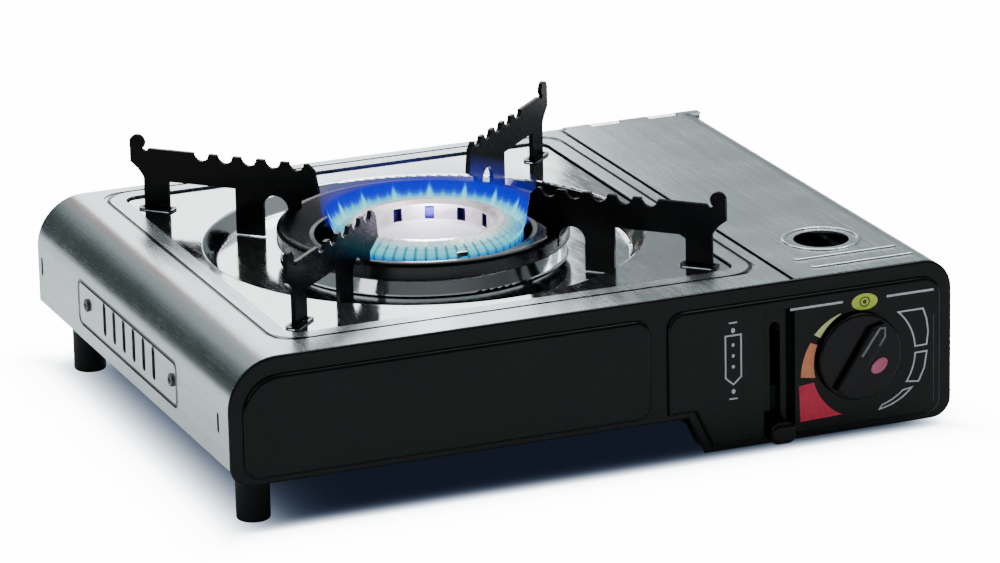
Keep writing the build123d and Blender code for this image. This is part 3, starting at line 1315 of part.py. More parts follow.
for index, angle in enumerate(arm_angles, start=1):
    along = (cos(radians(angle)), sin(radians(angle)), 0)
    across = (sin(radians(angle)), -cos(radians(angle)), 0)
    arm_plane = Plane((DISH_X, DISH_Y, TOP), x_dir=along, z_dir=across)
    with BuildPart() as support_arm:
        with BuildSketch(arm_plane) as arm_outline:
            with BuildLine():
                Polyline((51.0, 14.5), (53.0, SHELF - 3), (56.5, SHELF), (136.5, SHELF))
                Polyline((136.5, SHELF), (138.2, SHELF - 1.6), (140.2, SHELF - 0.6))
                ThreePointArc((140.2, SHELF - 0.6), (143.0, TIP_HEIGHT), (146.0, SHELF + 2.0))
                Line((146.0, SHELF + 2.0), (146.0, 21.0))
                ThreePointArc((146.0, 21.0), (142.5, 18.2), (139.4, 14.0))
                Polyline((139.4, 14.0), (139.4, -1.0), (127.0, -1.0), (127.0, UNDER), (93.0, UNDER))
                Polyline((93.0, UNDER), (93.0, -8.4), (79.0, -8.4), (79.0, 4.0))
                ThreePointArc((79.0, 4.0), (72.8, 11.5), (66.6, 4.0))
                Polyline((66.6, 4.0), (66.6, 1.5), (60.5, 1.5), (60.5, 10.0), (51.0, 14.5))
            make_face()
            fillet(arm_outline.vertices().filter_by_position(Axis.Z, TOP + 12.9, TOP + 13.1), 2.0)
            with Locations(*[(110.0 - 12.0 * i, SHELF + 0.3) for i in range(5)]):
                Circle(4.0, mode=Mode.SUBTRACT)
        extrude(amount=ARM_SHEET / 2, both=True)
    support_arm.part.label = f"support_arm_{index}"
    export_step(support_arm.part, f"parts/support_arm_{index}.step")
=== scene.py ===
import json
from math import cos, radians, sin, tau

import bmesh
import bpy
from mathutils import Matrix, Vector


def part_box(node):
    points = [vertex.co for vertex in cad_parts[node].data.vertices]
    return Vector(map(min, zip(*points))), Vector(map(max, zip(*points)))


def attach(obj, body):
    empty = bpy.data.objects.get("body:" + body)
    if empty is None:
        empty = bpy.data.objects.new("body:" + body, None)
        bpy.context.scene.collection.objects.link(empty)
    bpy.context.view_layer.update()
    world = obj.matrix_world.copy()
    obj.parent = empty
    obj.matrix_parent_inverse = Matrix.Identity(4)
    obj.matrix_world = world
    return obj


# Looks of a portable cassette stove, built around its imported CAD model. Metres, +Z up,
# the front panel and its knob face -Y.

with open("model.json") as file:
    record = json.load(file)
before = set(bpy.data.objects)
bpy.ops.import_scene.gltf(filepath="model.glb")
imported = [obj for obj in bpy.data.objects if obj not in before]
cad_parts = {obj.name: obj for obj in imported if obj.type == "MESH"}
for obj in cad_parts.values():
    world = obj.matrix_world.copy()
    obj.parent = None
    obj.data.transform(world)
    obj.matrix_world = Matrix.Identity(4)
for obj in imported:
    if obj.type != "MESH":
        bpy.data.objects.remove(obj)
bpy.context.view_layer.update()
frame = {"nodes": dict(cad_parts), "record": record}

MM = 0.001
shell_low, shell_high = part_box("outer_shell")
head_low, head_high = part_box("burner_head")
BURNER = Vector(((head_low.x + head_high.x) / 2, (head_low.y + head_high.y) / 2, head_high.z))
HEAD = (head_high.x - head_low.x) / 2 / MM  # radius of the burner head, in millimetres

# Lengths that the painted shade follows, in millimetres.
PAN_GAP = 1.2                # joint round the drip pan
PAN_CORNER = 8.0             # corner radius of the opening round it
LINE_OUT = 9.0               # outer edge of the pressed line, out from that opening
LINE_WIDTH = 1.9             # pressed lines
WALL_OUT, LEDGE_IN = 1.2, 6.0                    # the shaded joint, out and in from the opening's edge
WALL_TOP, LEDGE_LOW = 0.9, 8.0                   # and its upper and lower end, below the case's top
OUTLINE_BACK, OUTLINE_DOWN = 2.7, 31.2           # middle of the outline round the louvres
OUTLINE_SIZE, OUTLINE_CORNER = (137.4, 22.0), 4.4
NEAR = 1.0                   # reach of a mark to either side of the face that it lies on
PAN_BRIM = 0.82              # painted shade on the pan from this far below the case's top upwards
SLOT_LEFT, SLOT_RIGHT, SLOT_DEEP = 74, 96, 26    # painted shade behind the lever's slot
WINDOW_IN, WINDOW_OUT = 29.3, 39.0               # radii of the painted shade in the burner head's windows
WINDOW_LOW, WINDOW_HIGH = 12.0, 2.7              # and their ends below the head's top
PAINTED_SHADE = (0.006, 0.009, 0.010)                    # colour of this painted shade


def add_object(name, data):
    made = bpy.data.objects.new(name, data)
    bpy.context.scene.collection.objects.link(made)
    return made


def set_stops(ramp, stops):
    """Colours along a ramp, from (position, colour) pairs in rising order."""
    ends = ramp.elements
    for element, (position, colour) in zip((ends[0], ends[1]), (stops[0], stops[-1])):
        element.position = position
        element.color = (*colour, 1)
    for position, colour in stops[1:-1]:
        ends.new(position).color = (*colour, 1)


# ---- camera -----------------------------------------------------------------------------
def make_camera():
    """A long lens, front left of the stove and a little above it."""
    azimuth, elevation, roll = radians(-21.82), radians(17.65), radians(-1.26)
    distance = 2.536
    target = Vector((0.0082, 0.00325, 0.0518))
    back = Vector((sin(azimuth) * cos(elevation), -cos(azimuth) * cos(elevation), sin(elevation)))
    level = (-back).cross(Vector((0, 0, 1))).normalized()
    upright = level.cross(-back)
    right = level * cos(roll) + upright * sin(roll)
    up = upright * cos(roll) - level * sin(roll)
    data = bpy.data.cameras.new("camera")
    data.lens = 200.8
    data.sensor_width = 36
    data.clip_end = 60
    camera = add_object("camera", data)
    camera.matrix_world = Matrix.Translation(target + back * distance) @ (
        Matrix((right, up, back)).transposed().to_4x4()
    )
    bpy.context.scene.camera = camera


make_camera()


# ---- material helpers -------------------------------------------------------------------
class Graph:
    """A material being made, with short ways to add and link its nodes."""

    def __init__(self, name):
        self.material = bpy.data.materials.new(name)
        self.material.use_nodes = True
        self.tree = self.material.node_tree
        self.tree.nodes.clear()
        self.place = self.node("ShaderNodeTexCoord").outputs["Object"]

    def node(self, kind):
        return self.tree.nodes.new(kind)

    def link(self, source, socket):
        self.tree.links.new(source, socket)

    def maths(self, operation, *values):
        step = self.node("ShaderNodeMath")
        step.operation = operation
        for socket, value in zip(step.inputs, values):
            if isinstance(value, (int, float)):
                socket.default_value = value
            else:
                self.link(value, socket)
        return step.outputs["Value"]

    def remap(self, factor, low, high, from_low=0.3, from_high=0.7):
        """The factor's middle range, stretched to run from low to high."""
        ranger = self.node("ShaderNodeMapRange")
        ranger.inputs["From Min"].default_value = from_low
        ranger.inputs["From Max"].default_value = from_high
        ranger.inputs["To Min"].default_value = low
        ranger.inputs["To Max"].default_value = high
        self.link(factor, ranger.inputs["Value"])
        return ranger.outputs["Result"]

    def axes(self):
        split = self.node("ShaderNodeSeparateXYZ")
        self.link(self.place, split.inputs[0])
        return split.outputs["X"], split.outputs["Y"], split.outputs["Z"]

    def box_distance(self, first, second, middle, size, round_off=0.0):
        """How far outside a rectangle in two coordinates a point is; negative inside.

        The rectangle is given in millimetres, the distance comes out in metres.
        """
        reaches = []
        for value, centre, side in zip((first, second), middle, size):
            away = self.maths("ABSOLUTE", self.maths("SUBTRACT", value, centre * MM))
            reaches.append(self.maths("SUBTRACT", away, (side / 2 - round_off) * MM))
        outer = [self.maths("MAXIMUM", reach, 0.0) for reach in reaches]
        squares = [self.maths("MULTIPLY", o, o) for o in outer]
        corner = self.maths("SQRT", self.maths("ADD", *squares))
        inner = self.maths("MINIMUM", self.maths("MAXIMUM", *reaches), 0.0)
        return self.maths("SUBTRACT", self.maths("ADD", corner, inner), round_off * MM)

    def between(self, value, low, high, soft=0.12):
        """1 where the value lies between two lengths in millimetres, 0 elsewhere."""
        rising = self.remap(value, 0, 1, (low - soft) * MM, (low + soft) * MM)
        falling = self.remap(value, 1, 0, (high - soft) * MM, (high + soft) * MM)
        return self.maths("MULTIPLY", rising, falling)

    def all_of(self, *masks):
        result = masks[0]
        for mask in masks[1:]:
            result = self.maths("MULTIPLY", result, mask)
        return result

    def any_of(self, *masks):
        result = masks[0]
        for mask in masks[1:]:
            result = self.maths("MAXIMUM", result, mask)
        return result

    def surface(self, shader):
        output = self.node("ShaderNodeOutputMaterial")
        self.link(shader, output.inputs["Surface"])

    def blend(self, factor, first, second):
        """A shader that goes from first to second with the factor."""
        both = self.node("ShaderNodeMixShader")
        self.link(factor, both.inputs[0])
        self.link(first, both.inputs[1])
        self.link(second, both.inputs[2])
        return both.outputs[0]


class Finish(Graph):
    """A surface of the object: its Principled shader and the nodes that drive it."""

    def __init__(self, name, colour, metallic=0.0, roughness=0.4, specular=0.5):
        super().__init__(name)
        self.shader = self.node("ShaderNodeBsdfPrincipled")
        self.surface(self.shader.outputs[0])
        sockets = self.shader.inputs
        sockets["Base Color"].default_value = (*colour, 1)
        sockets["Metallic"].default_value = metallic
        sockets["Roughness"].default_value = roughness
        sockets["Specular IOR Level"].default_value = specular

    def noise(self, scale, detail=3.0, rough=0.55, stretch=(1, 1, 1), shift=0.0):
        """Noise from 0 to 1, with this many features to the metre along each axis."""
        mapping = self.node("ShaderNodeMapping")
        self.link(self.place, mapping.inputs["Vector"])
        mapping.inputs["Scale"].default_value = [scale * s for s in stretch]
        mapping.inputs["Location"].default_value = (shift, shift * 0.7, -shift)
        texture = self.node("ShaderNodeTexNoise")
        texture.inputs["Scale"].default_value = 1.0
        texture.inputs["Detail"].default_value = detail
        texture.inputs["Roughness"].default_value = rough
        self.link(mapping.outputs["Vector"], texture.inputs["Vector"])
        return texture.outputs["Fac"]

    def mix(self, factor, first, second):
        """A colour that goes from first to second with the factor."""
        mixer = self.node("ShaderNodeMix")
        mixer.data_type = "RGBA"
        colours = [s for s in mixer.inputs if s.type == "RGBA"]
        self.link(factor, mixer.inputs[0])
        for socket, value in zip(colours, (first, second)):
            if isinstance(value, tuple):
                socket.default_value = (*value, 1)
            else:
                self.link(value, socket)
        return [s for s in mixer.outputs if s.type == "RGBA"][0]

    def colour(self, source):
        self.link(source, self.shader.inputs["Base Color"])

    def roughness(self, source):
        self.link(source, self.shader.inputs["Roughness"])

    def relief(self, *layers, radius=0.0):
        """Bumps, each a (height, depth in metres) pair, on edges softened by the radius."""
        normal = None
        if radius:
            bevel = self.node("ShaderNodeBevel")
            bevel.samples = 4
            bevel.inputs["Radius"].default_value = radius
            normal = bevel.outputs["Normal"]
        for height, depth in layers:
            bump = self.node("ShaderNodeBump")
            bump.inputs["Strength"].default_value = 1.0
            bump.inputs["Distance"].default_value = depth
            self.link(height, bump.inputs["Height"])
            if normal is not None:
                self.link(normal, bump.inputs["Normal"])
            normal = bump.outputs["Normal"]
        self.link(normal, self.shader.inputs["Normal"])


def painted_groove_shade(finish):
    """Painted shade on the case's sheet, standing in for the shadow in its grooves and gaps.

    These are its pressed lines, the joint round the pan and the lid's cut edge.
    """
    x, y, z = finish.axes()
    top = shell_high.z / MM
    pan_low, pan_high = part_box("drip_pan")
    middle = ((pan_low.x + pan_high.x) / 2 / MM, (pan_low.y + pan_high.y) / 2 / MM)
    opening = [side / MM + 2 * PAN_GAP for side in (pan_high.x - pan_low.x, pan_high.y - pan_low.y)]
    from_pan = finish.box_distance(x, y, middle, opening, PAN_CORNER)
    pressed = finish.all_of(
        finish.between(from_pan, LINE_OUT - LINE_WIDTH, LINE_OUT),
        finish.between(z, top - NEAR, top + NEAR),
    )
    joint = finish.all_of(
        finish.between(from_pan, -LEDGE_IN, WALL_OUT),
        finish.between(z, top - LEDGE_LOW, top - WALL_TOP),
    )
    side_middle = ((shell_low.y + shell_high.y) / 2 / MM + OUTLINE_BACK, top - OUTLINE_DOWN)
    from_louvres = finish.box_distance(y, z, side_middle, OUTLINE_SIZE, OUTLINE_CORNER)
    left = shell_low.x / MM
    outline = finish.all_of(
        finish.between(from_louvres, -LINE_WIDTH, 0.0),
        finish.between(x, left - NEAR, left + 2 * NEAR),
    )
    lid_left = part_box("lid")[0].x / MM
    edge = finish.between(x, lid_left - NEAR, lid_left + NEAR / 2)
    return finish.any_of(pressed, joint, outline, edge)


def brushed_sheet(name, light, dark, smooth, rough):
    """Stainless sheet brushed front to back, with soft streaks, smears and painted shade in its grooves."""
    finish = Finish(name, light, metallic=1.0, roughness=smooth)
    grain = finish.noise(1, 4, 0.6, stretch=(1500, 14, 1500))
    streaks = finish.noise(1, 2, 0.5, stretch=(260, 5, 260), shift=3.1)
    smears = finish.noise(22, 3, 0.6, shift=7.7)
    tone = finish.maths("ADD", finish.maths("MULTIPLY", streaks, 0.6), finish.maths("MULTIPLY", smears, 0.4))
    bare = finish.mix(finish.remap(tone, 0, 1), light, dark)
    # painted shade in the case's grooves and gaps, mixed over the bare steel
    finish.colour(finish.mix(painted_groove_shade(finish), bare, PAINTED_SHADE))
    worn = finish.maths("ADD", finish.maths("MULTIPLY", grain, 0.5), finish.maths("MULTIPLY", smears, 0.5))
    finish.roughness(finish.remap(worn, smooth, rough))
    finish.relief((grain, 0.012 * MM), (smears, 0.05 * MM))
    return finish.material


def polished_sheet(name, light, dark, smooth, rough):
    """Bright pressed steel with slight ripples and wiping marks, and painted shade near the deck's level."""
    finish = Finish(name, light, metallic=1.0, roughness=smooth)
    ripples = finish.noise(34, 2, 0.5)
    wiping = finish.noise(1, 4, 0.65, stretch=(420, 60, 420), shift=5.0)
    stains = finish.noise(16, 4, 0.6, shift=2.2)
    bare = finish.mix(finish.remap(stains, 0, 1), light, dark)
    height = finish.axes()[2]
    top = shell_high.z / MM
    # painted shade where the pan's rim meets the deck
    painted_brim_shade = finish.between(height, top - PAN_BRIM, top + 4 * NEAR)
    finish.colour(finish.mix(painted_brim_shade, bare, PAINTED_SHADE))
    finish.roughness(finish.remap(wiping, smooth, rough))
    finish.relief((ripples, 0.12 * MM), (wiping, 0.004 * MM))
    return finish.material


def enamel(name, base, lighter, smooth, rough, specular, peel_depth, radius):
    """Fired or sprayed black finish with orange peel, dust and softened edges."""
    finish = Finish(name, base, roughness=smooth, specular=specular)
    peel = finish.noise(420, 2, 0.5)
    clouds = finish.noise(30, 4, 0.6, shift=1.3)
    specks = finish.noise(1500, 1, 0.5, shift=9.0)
    finish.colour(finish.mix(finish.remap(clouds, 0, 1), base, lighter))
    worn = finish.maths("ADD", finish.maths("MULTIPLY", clouds, 0.6), finish.maths("MULTIPLY", specks, 0.4))
    finish.roughness(finish.remap(worn, smooth, rough))
    finish.relief((peel, peel_depth), radius=radius)
    return finish.material


def plated(name, light, dark, smooth, rough, spangle=160):
    """Plated steel or brass: patchy, slightly dull, with painted shade behind the lever's slot."""
    finish = Finish(name, light, metallic=1.0, roughness=smooth)
    patches = finish.noise(spangle, 3, 0.5)
    dust = finish.noise(28, 4, 0.6, shift=4.0)
    bare = finish.mix(finish.remap(finish.maths("MULTIPLY", patches, dust), 0, 1, 0.12, 0.4), light, dark)
    x, y, _ = finish.axes()
    front = shell_low.y / MM
    # painted shade on whatever lies just behind the lever's slot
    painted_slot_shade = finish.all_of(
        finish.between(y, front, front + SLOT_DEEP), finish.between(x, SLOT_LEFT, SLOT_RIGHT)
    )
    finish.colour(finish.mix(painted_slot_shade, bare, PAINTED_SHADE))
    finish.roughness(finish.remap(patches, smooth, rough))
    finish.relief((patches, 0.03 * MM))
    return finish.material


def cast(name, light, dark):
    """Die-cast aluminium with a sandy skin."""
    finish = Finish(name, light, metallic=1.0, roughness=0.5)
    sand = finish.noise(1300, 3, 0.7)
    flow = finish.noise(60, 3, 0.6, shift=6.0)
    finish.colour(finish.mix(finish.remap(flow, 0, 1), light, dark))
    finish.roughness(finish.remap(sand, 0.42, 0.62))
    finish.relief((sand, 0.06 * MM))
    return finish.material


def moulded(name, base, lighter, smooth, rough, texture, radius=0.3 * MM, specular=0.5):
    """Moulded plastic, ceramic or rubber with a fine skin and softened edges."""
    finish = Finish(name, base, roughness=smooth, specular=specular)
    skin = finish.noise(900, 3, 0.6)
    wear = finish.noise(55, 4, 0.65, shift=8.0)
    finish.colour(finish.mix(finish.remap(wear, 0, 1), base, lighter))
    finish.roughness(finish.remap(wear, smooth, rough))
    finish.relief((skin, texture), radius=radius)
    return finish.material


def heat_stained(name):
    """Burner steel: bare metal with straw and blue heat colours, painted dark blue shade in the windows."""
    finish = Finish(name, (0.62, 0.61, 0.62), metallic=1.0, roughness=0.34)
    patches = finish.noise(90, 4, 0.6)
    fine = finish.noise(1200, 2, 0.5, shift=2.0)
    warm = finish.mix(finish.remap(patches, 0, 1, 0.35, 0.6), (0.60, 0.60, 0.63), (0.52, 0.44, 0.36))
    blued = finish.mix(finish.remap(patches, 0, 1, 0.55, 0.7), warm, (0.30, 0.32, 0.48))
    x, y, z = finish.axes()
    across = finish.maths("SUBTRACT", x, BURNER.x)
    along = finish.maths("SUBTRACT", y, BURNER.y)
    squares = [finish.maths("MULTIPLY", side, side) for side in (across, along)]
    radius = finish.maths("SQRT", finish.maths("ADD", *squares))
    top = BURNER.z / MM
    # painted dark blue shade inside the head's windows
    painted_window_shade = finish.all_of(
        finish.between(radius, WINDOW_IN, WINDOW_OUT),
        finish.between(z, top - WINDOW_LOW, top - WINDOW_HIGH),
    )
    finish.colour(finish.mix(painted_window_shade, blued, (0.035, 0.03, 0.16)))
    finish.roughness(finish.remap(fine, 0.28, 0.46))
    finish.relief((fine, 0.01 * MM))
    return finish.material


STEEL_LIGHT = (0.57, 0.645, 0.665)
STEEL_DARK = (0.45, 0.52, 0.535)
finishes = {
    "stainless_shell": brushed_sheet("stainless_shell", STEEL_LIGHT, STEEL_DARK, 0.20, 0.31),
    "polished_steel": polished_sheet(
        "polished_steel", (0.74, 0.78, 0.80), (0.62, 0.66, 0.69), 0.05, 0.15
    ),
    "black_enamel": enamel(
        "black_enamel", (0.0024, 0.0040, 0.0044), (0.0042, 0.0062, 0.0066), 0.08, 0.16,
        specular=0.14, peel_depth=0.01 * MM, radius=0.4 * MM,
    ),
    "dark_paint": enamel(
        "dark_paint", (0.018, 0.020, 0.022), (0.030, 0.033, 0.036), 0.32, 0.48,
        specular=0.4, peel_depth=0.03 * MM, radius=0.3 * MM,
    ),
    "pan_enamel": enamel(
        "pan_enamel", (0.0006, 0.0007, 0.0012), (0.0018, 0.0020, 0.0026), 0.16, 0.34,
        specular=0.08, peel_depth=0.02 * MM, radius=0.5 * MM,
    ),
    "galvanised_steel": plated("galvanised_steel", (0.60, 0.62, 0.63), (0.44, 0.46, 0.48), 0.32, 0.52),
    "zinc_steel": plated("zinc_steel", (0.66, 0.66, 0.63), (0.50, 0.50, 0.46), 0.24, 0.42, 260),
    "dark_screws": plated("dark_screws", (0.10, 0.10, 0.105), (0.05, 0.05, 0.055), 0.30, 0.46, 300),
    "brass": plated("brass", (0.80, 0.60, 0.28), (0.62, 0.43, 0.18), 0.20, 0.36, 300),
    "cast_aluminium": cast("cast_aluminium", (0.62, 0.62, 0.61), (0.50, 0.50, 0.50)),
    "burner_steel": heat_stained("burner_steel"),
    "white_ceramic": moulded(
        "white_ceramic", (0.80, 0.78, 0.72), (0.68, 0.65, 0.58), 0.10, 0.22, texture=0.004 * MM
    ),
    "black_rubber": moulded(
        "black_rubber", (0.004, 0.006, 0.007), (0.010, 0.013, 0.014), 0.45, 0.65,
        texture=0.05 * MM, specular=0.15,
    ),
    "seal_rubber": moulded(
        "seal_rubber", (0.012, 0.012, 0.012), (0.03, 0.03, 0.03), 0.5, 0.7, texture=0.03 * MM
    ),
    "black_plastic": moulded(
        "black_plastic", (0.0022, 0.0026, 0.0038), (0.0045, 0.0050, 0.0065), 0.14, 0.26,
        texture=0.004 * MM, specular=0.16,
    ),
    "white_plastic": moulded(
        "white_plastic", (0.78, 0.78, 0.75), (0.66, 0.66, 0.62), 0.40, 0.55, texture=0.01 * MM
    ),
    "red_plastic": moulded(
        "red_plastic", (0.62, 0.15, 0.27), (0.45, 0.06, 0.14), 0.28, 0.42, texture=0.01 * MM
    ),
    "lead_insulation": moulded(
        "lead_insulation", (0.66, 0.66, 0.62), (0.50, 0.50, 0.46), 0.38, 0.55, texture=0.01 * MM
    ),
}

for part in frame["record"]["subparts"]:
    mesh = frame["nodes"][part["node"]].data
    mesh.materials.clear()
    mesh.materials.append(finishes[part["material_slot"]])


# ---- printed marks on the front panel ---------------------------------------------------
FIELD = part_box("front_panel")[0].y          # front face of the panel's raised fields
INK = 0.05 * MM                             # how far the print stands out
knob_low, knob_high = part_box("knob")
GRIP_FACE = knob_low.y
GRIP_TURN = radians(54)                     # the grip's angle from +X up
KNOB = ((knob_low.x + knob_high.x) / 2, (knob_low.z + knob_high.z) / 2)
DIAL = (KNOB[0] + 3.0 * MM, KNOB[1] - 1.6 * MM)


def dial_point(radius, degrees):
    """A point this far in millimetres from the middle of the dial, angle from +X up."""
    return (
        DIAL[0] + radius * MM * cos(radians(degrees)),
        DIAL[1] + radius * MM * sin(radians(degrees)),
    )


def dial_arc(radius, start, end, end_radius=None, steps=18):
    """Points along an arc of the dial, or a spiral that ends at another radius."""
    last = radius if end_radius is None else end_radius
    return [
        dial_point(radius + (last - radius) * i / steps, start + (end - start) * i / steps)
        for i in range(steps + 1)
    ]


def stroke(points, width, closed=False):
    """Left and right edges of a line this wide along the points, mitred at its corners."""
    count = len(points)
    edges = []
    for i, point in enumerate(points):
        here = Vector(point)
        before = Vector(points[i - 1]) if closed or i > 0 else None
        after = Vector(points[(i + 1) % count]) if closed or i < count - 1 else None
        ends = [(a, b) for a, b in ((before, here), (here, after)) if a is not None and b is not None]
        ways = [(b - a).normalized() for a, b in ends]
        along = sum(ways, Vector((0, 0))).normalized()
        across = Vector((-along.y, along.x))
        square = Vector((-ways[0].y, ways[0].x))
        reach = width / 2 / max(0.4, across.dot(square))
        edges.append((here + across * reach, here - across * reach))
    if closed:
        edges.append(edges[0])
    return edges


def add_prism(mesh, outline, face):
    """A thin closed plate of ink on a face that looks forward, from an outline in X and Z."""
    front = [mesh.verts.new((x, face - INK, z)) for x, z in outline]
    back = [mesh.verts.new((x, face + INK / 2, z)) for x, z in outline]
    mesh.faces.new(front)
    mesh.faces.new(back[::-1])
    for i in range(len(outline)):
        j = (i + 1) % len(outline)
        mesh.faces.new((front[j], front[i], back[i], back[j]))


def add_stroke(mesh, points, width, closed, face):
    """A printed line as one closed plate along its whole length."""
    rows = []
    for left, right in stroke(points, width, closed):
        depths = (face - INK, face + INK / 2)
        rows.append([mesh.verts.new((p.x, y, p.y)) for y in depths for p in (left, right)])
    if closed:
        for spare in rows.pop():
            mesh.verts.remove(spare)
    pairs = list(zip(rows, rows[1:])) + ([(rows[-1], rows[0])] if closed else [])
    for (a, b, c, d), (e, f, g, h) in pairs:
        for corners in ((a, b, f, e), (d, c, g, h), (b, d, h, f), (c, a, e, g)):
            mesh.faces.new(corners)
    if not closed:
        for a, b, c, d in (rows[0], rows[-1]):
            mesh.faces.new((a, c, d, b))


def printed(name, colour, fills=(), lines=(), face=FIELD, body="case"):
    """One ink colour: filled outlines, and (points, width, closed) lines."""
    mesh = bmesh.new()
    for outline in fills:
        add_prism(mesh, outline, face)
    for points, width, closed in lines:
        add_stroke(mesh, points, width, closed, face)
    bmesh.ops.recalc_face_normals(mesh, faces=mesh.faces)
    data = bpy.data.meshes.new(name)
    mesh.to_mesh(data)
    mesh.free()
    ink = Finish(name, colour, roughness=0.4, specular=0.3)
    speckle = ink.noise(700, 3, 0.6)
    ink.colour(ink.mix(ink.remap(speckle, 0, 1), colour, tuple(0.8 * c for c in colour)))
    ink.roughness(ink.remap(speckle, 0.3, 0.5))
    data.materials.append(ink.material)
    piece = add_object(name, data)
    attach(piece, body)


def at(x, z):
    """A point of the panel, in millimetres from the knob's axis."""
    return (KNOB[0] + x * MM, KNOB[1] + z * MM)


def oval(x, z, width, height, steps=40):
    turns = [tau * i / steps for i in range(steps)]
    return [at(x + width / 2 * cos(turn), z + height / 2 * sin(turn)) for turn in turns]


def on_grip(along, across):
    """A point of the knob's grip, in millimetres from the knob's axis."""
    turned = Matrix.Rotation(GRIP_TURN, 2) @ Vector((along, across))
    return at(turned.x, turned.y)


BAND = 24.4                  # inner radius of the coloured bands round the dial
yellow_band = dial_arc(BAND, 150, 117) + dial_arc(BAND + 0.3, 117, 150, BAND + 3.4)
orange_band = dial_arc(BAND, 194, 158) + dial_arc(BAND + 3.6, 158, 189, BAND + 6.6)
red_wedge = dial_arc(BAND + 2.6, 246, 198, BAND + 1.2) + [at(-28.6, -10.4), at(-28.0, -27.0), at(-7.4, -26.4)]
off_mark = oval(3.4, 24.3, 12.6, 7.6)
printed("off_mark", (0.62, 0.80, 0.08), fills=[off_mark])
printed("low_flame_band", (0.84, 0.96, 0.40), fills=[yellow_band])
printed("high_flame_band", (0.86, 0.30, 0.14), fills=[orange_band])
printed("ignition_wedge", (0.74, 0.022, 0.075), fills=[red_wedge])
printed(
    "off_symbol",
    (0.05, 0.09, 0.01),
    fills=[oval(3.4, 24.3, 2.0, 2.0, 16)],
    lines=[(oval(3.4, 24.3, 4.6, 4.2, 24), 0.6 * MM, True)],
    face=FIELD - INK,
)

LINE = 0.7 * MM
FINE = 0.45 * MM
TAPER = 25.2                 # inner radius of the three outlined segments
lens_out = dial_arc(TAPER + 1.0, -73, -36, TAPER + 4.0)
lens_in = dial_arc(TAPER + 1.0, -43, -69, TAPER - 0.3, 8)
outlines = [
    dial_arc(TAPER, 48, 4) + [at(33.8, 0.3), at(34.5, 6.4), at(33.7, 12.4), at(32.0, 17.2), at(25.0, 17.2)],
    dial_arc(TAPER, -3, -34) + [at(29.8, -16.4), at(32.6, -10.6), at(33.9, -2.8)],
    lens_out + lens_in,
]
slider = [at(-63.9, -1.5), at(-63.9, 17.8), at(-56.4, 17.8), at(-56.4, -1.5), at(-60.2, -4.8)]
dots = [oval(-60.2, z, 1.9, 2.3, 12) for z in (20.0, -8.0)]
inner_dots = [oval(-60.2, z, 1.5, 1.7, 10) for z in (13.4, 8.4, 3.4)]
printed(
    "white_marks",
    (0.60, 0.63, 0.64),
    fills=dots + inner_dots,
    lines=[
        ([at(-32.6, 25.6), at(-7.2, 25.6)], 1.0 * MM, False),
        ([at(14.2, 25.3), at(37.2, 25.3)], 1.0 * MM, False),
        *[(outline, LINE, True) for outline in outlines],
        (slider, LINE, True),
        ([at(-62.2, 23.6), at(-58.2, 23.6)], LINE, False),
        ([at(-62.2, -11.4), at(-58.2, -11.4)], LINE, False),
    ],
)
# a painted highlight on the rounded right edge of the raised field, drawn as a faint grey line
printed(
    "field_edge_painted_highlight",
    (0.035, 0.04, 0.045),
    lines=[([at(37.2, 14.0), at(37.2, -26.8)], FINE, False)],
)
# a painted highlight along the grip's upper edge and round its tip, drawn as a grey print
printed(
    "knob_grip_painted_highlight",
    (0.17, 0.19, 0.20),
    lines=[
        ([on_grip(0.5, 1.5), on_grip(15.4, 1.5)], 1.1 * MM, False),
        ([on_grip(15.4, 1.5), on_grip(16.6, -0.6), on_grip(13.4, -2.9), on_grip(8.6, -3.0)], 0.8 * MM, False),
    ],
    face=GRIP_FACE,
    body="knob_assembly",
)


# ---- flame (not part of the object) -----------------------------------------------------
JETS = 54                                   # small flames round the head
BLUE = (0.0, 0.004, 0.62)
FRONT_LEFT = (-0.371, -0.928)               # the side where the flame is thinnest, in X and Y


def revolved(name, profile, steps=216):
    """A surface turned about the burner's axis, with its origin on that axis."""
    mesh = bmesh.new()
    turns = [tau * i / steps for i in range(steps)]
    rings = [
        [mesh.verts.new((r * MM * cos(turn), r * MM * sin(turn), z * MM)) for turn in turns]
        for r, z in profile
    ]
    for low, high in zip(rings, rings[1:]):
        for i in range(steps):
            j = (i + 1) % steps
            mesh.faces.new((low[i], low[j], high[j], high[i]))
    data = bpy.data.meshes.new(name)
    mesh.to_mesh(data)
    mesh.free()
    data.shade_smooth()
    piece = add_object(name, data)
    piece.location = BURNER
    return piece


class Flame(Graph):
    """Glowing gas that hides what is behind it by its own density, told by ramps over height."""

    def __init__(self, name, low, high, strength):
        super().__init__(name)
        x, y, z = self.axes()
        self.rise = self.remap(z, 0, 1, low * MM, high * MM)
        self.turn = self.maths("ARCTAN2", y, x)
        shares = [self.maths("MULTIPLY", axis, share) for axis, share in zip((x, y), FRONT_LEFT)]
        self.forward = self.maths("ADD", *shares)
        self.strength = strength

    def spikes(self, count, first, sharpness):
        """1 along each of this many jets round the burner, the first at this angle, and 0 between."""
        turned = self.maths("SUBTRACT", self.turn, radians(first))
        wave = self.maths("COSINE", self.maths("MULTIPLY", turned, count))
        return self.maths("POWER", self.maths("MAXIMUM", wave, 0.0), sharpness)

    def ramp(self, factor, stops):
        made = self.node("ShaderNodeValToRGB")
        set_stops(made.color_ramp, stops)
        self.link(factor, made.inputs[0])
        return made.outputs["Color"]

    def finish(self, colour, density):
        emission = self.node("ShaderNodeEmission")
        emission.inputs["Strength"].default_value = self.strength
        self.link(colour, emission.inputs["Color"])
        clear = self.node("ShaderNodeBsdfTransparent")
        self.surface(self.blend(density, clear.outputs[0], emission.outputs[0]))
        return self.material


def grey(level):
    return (level, level, level)


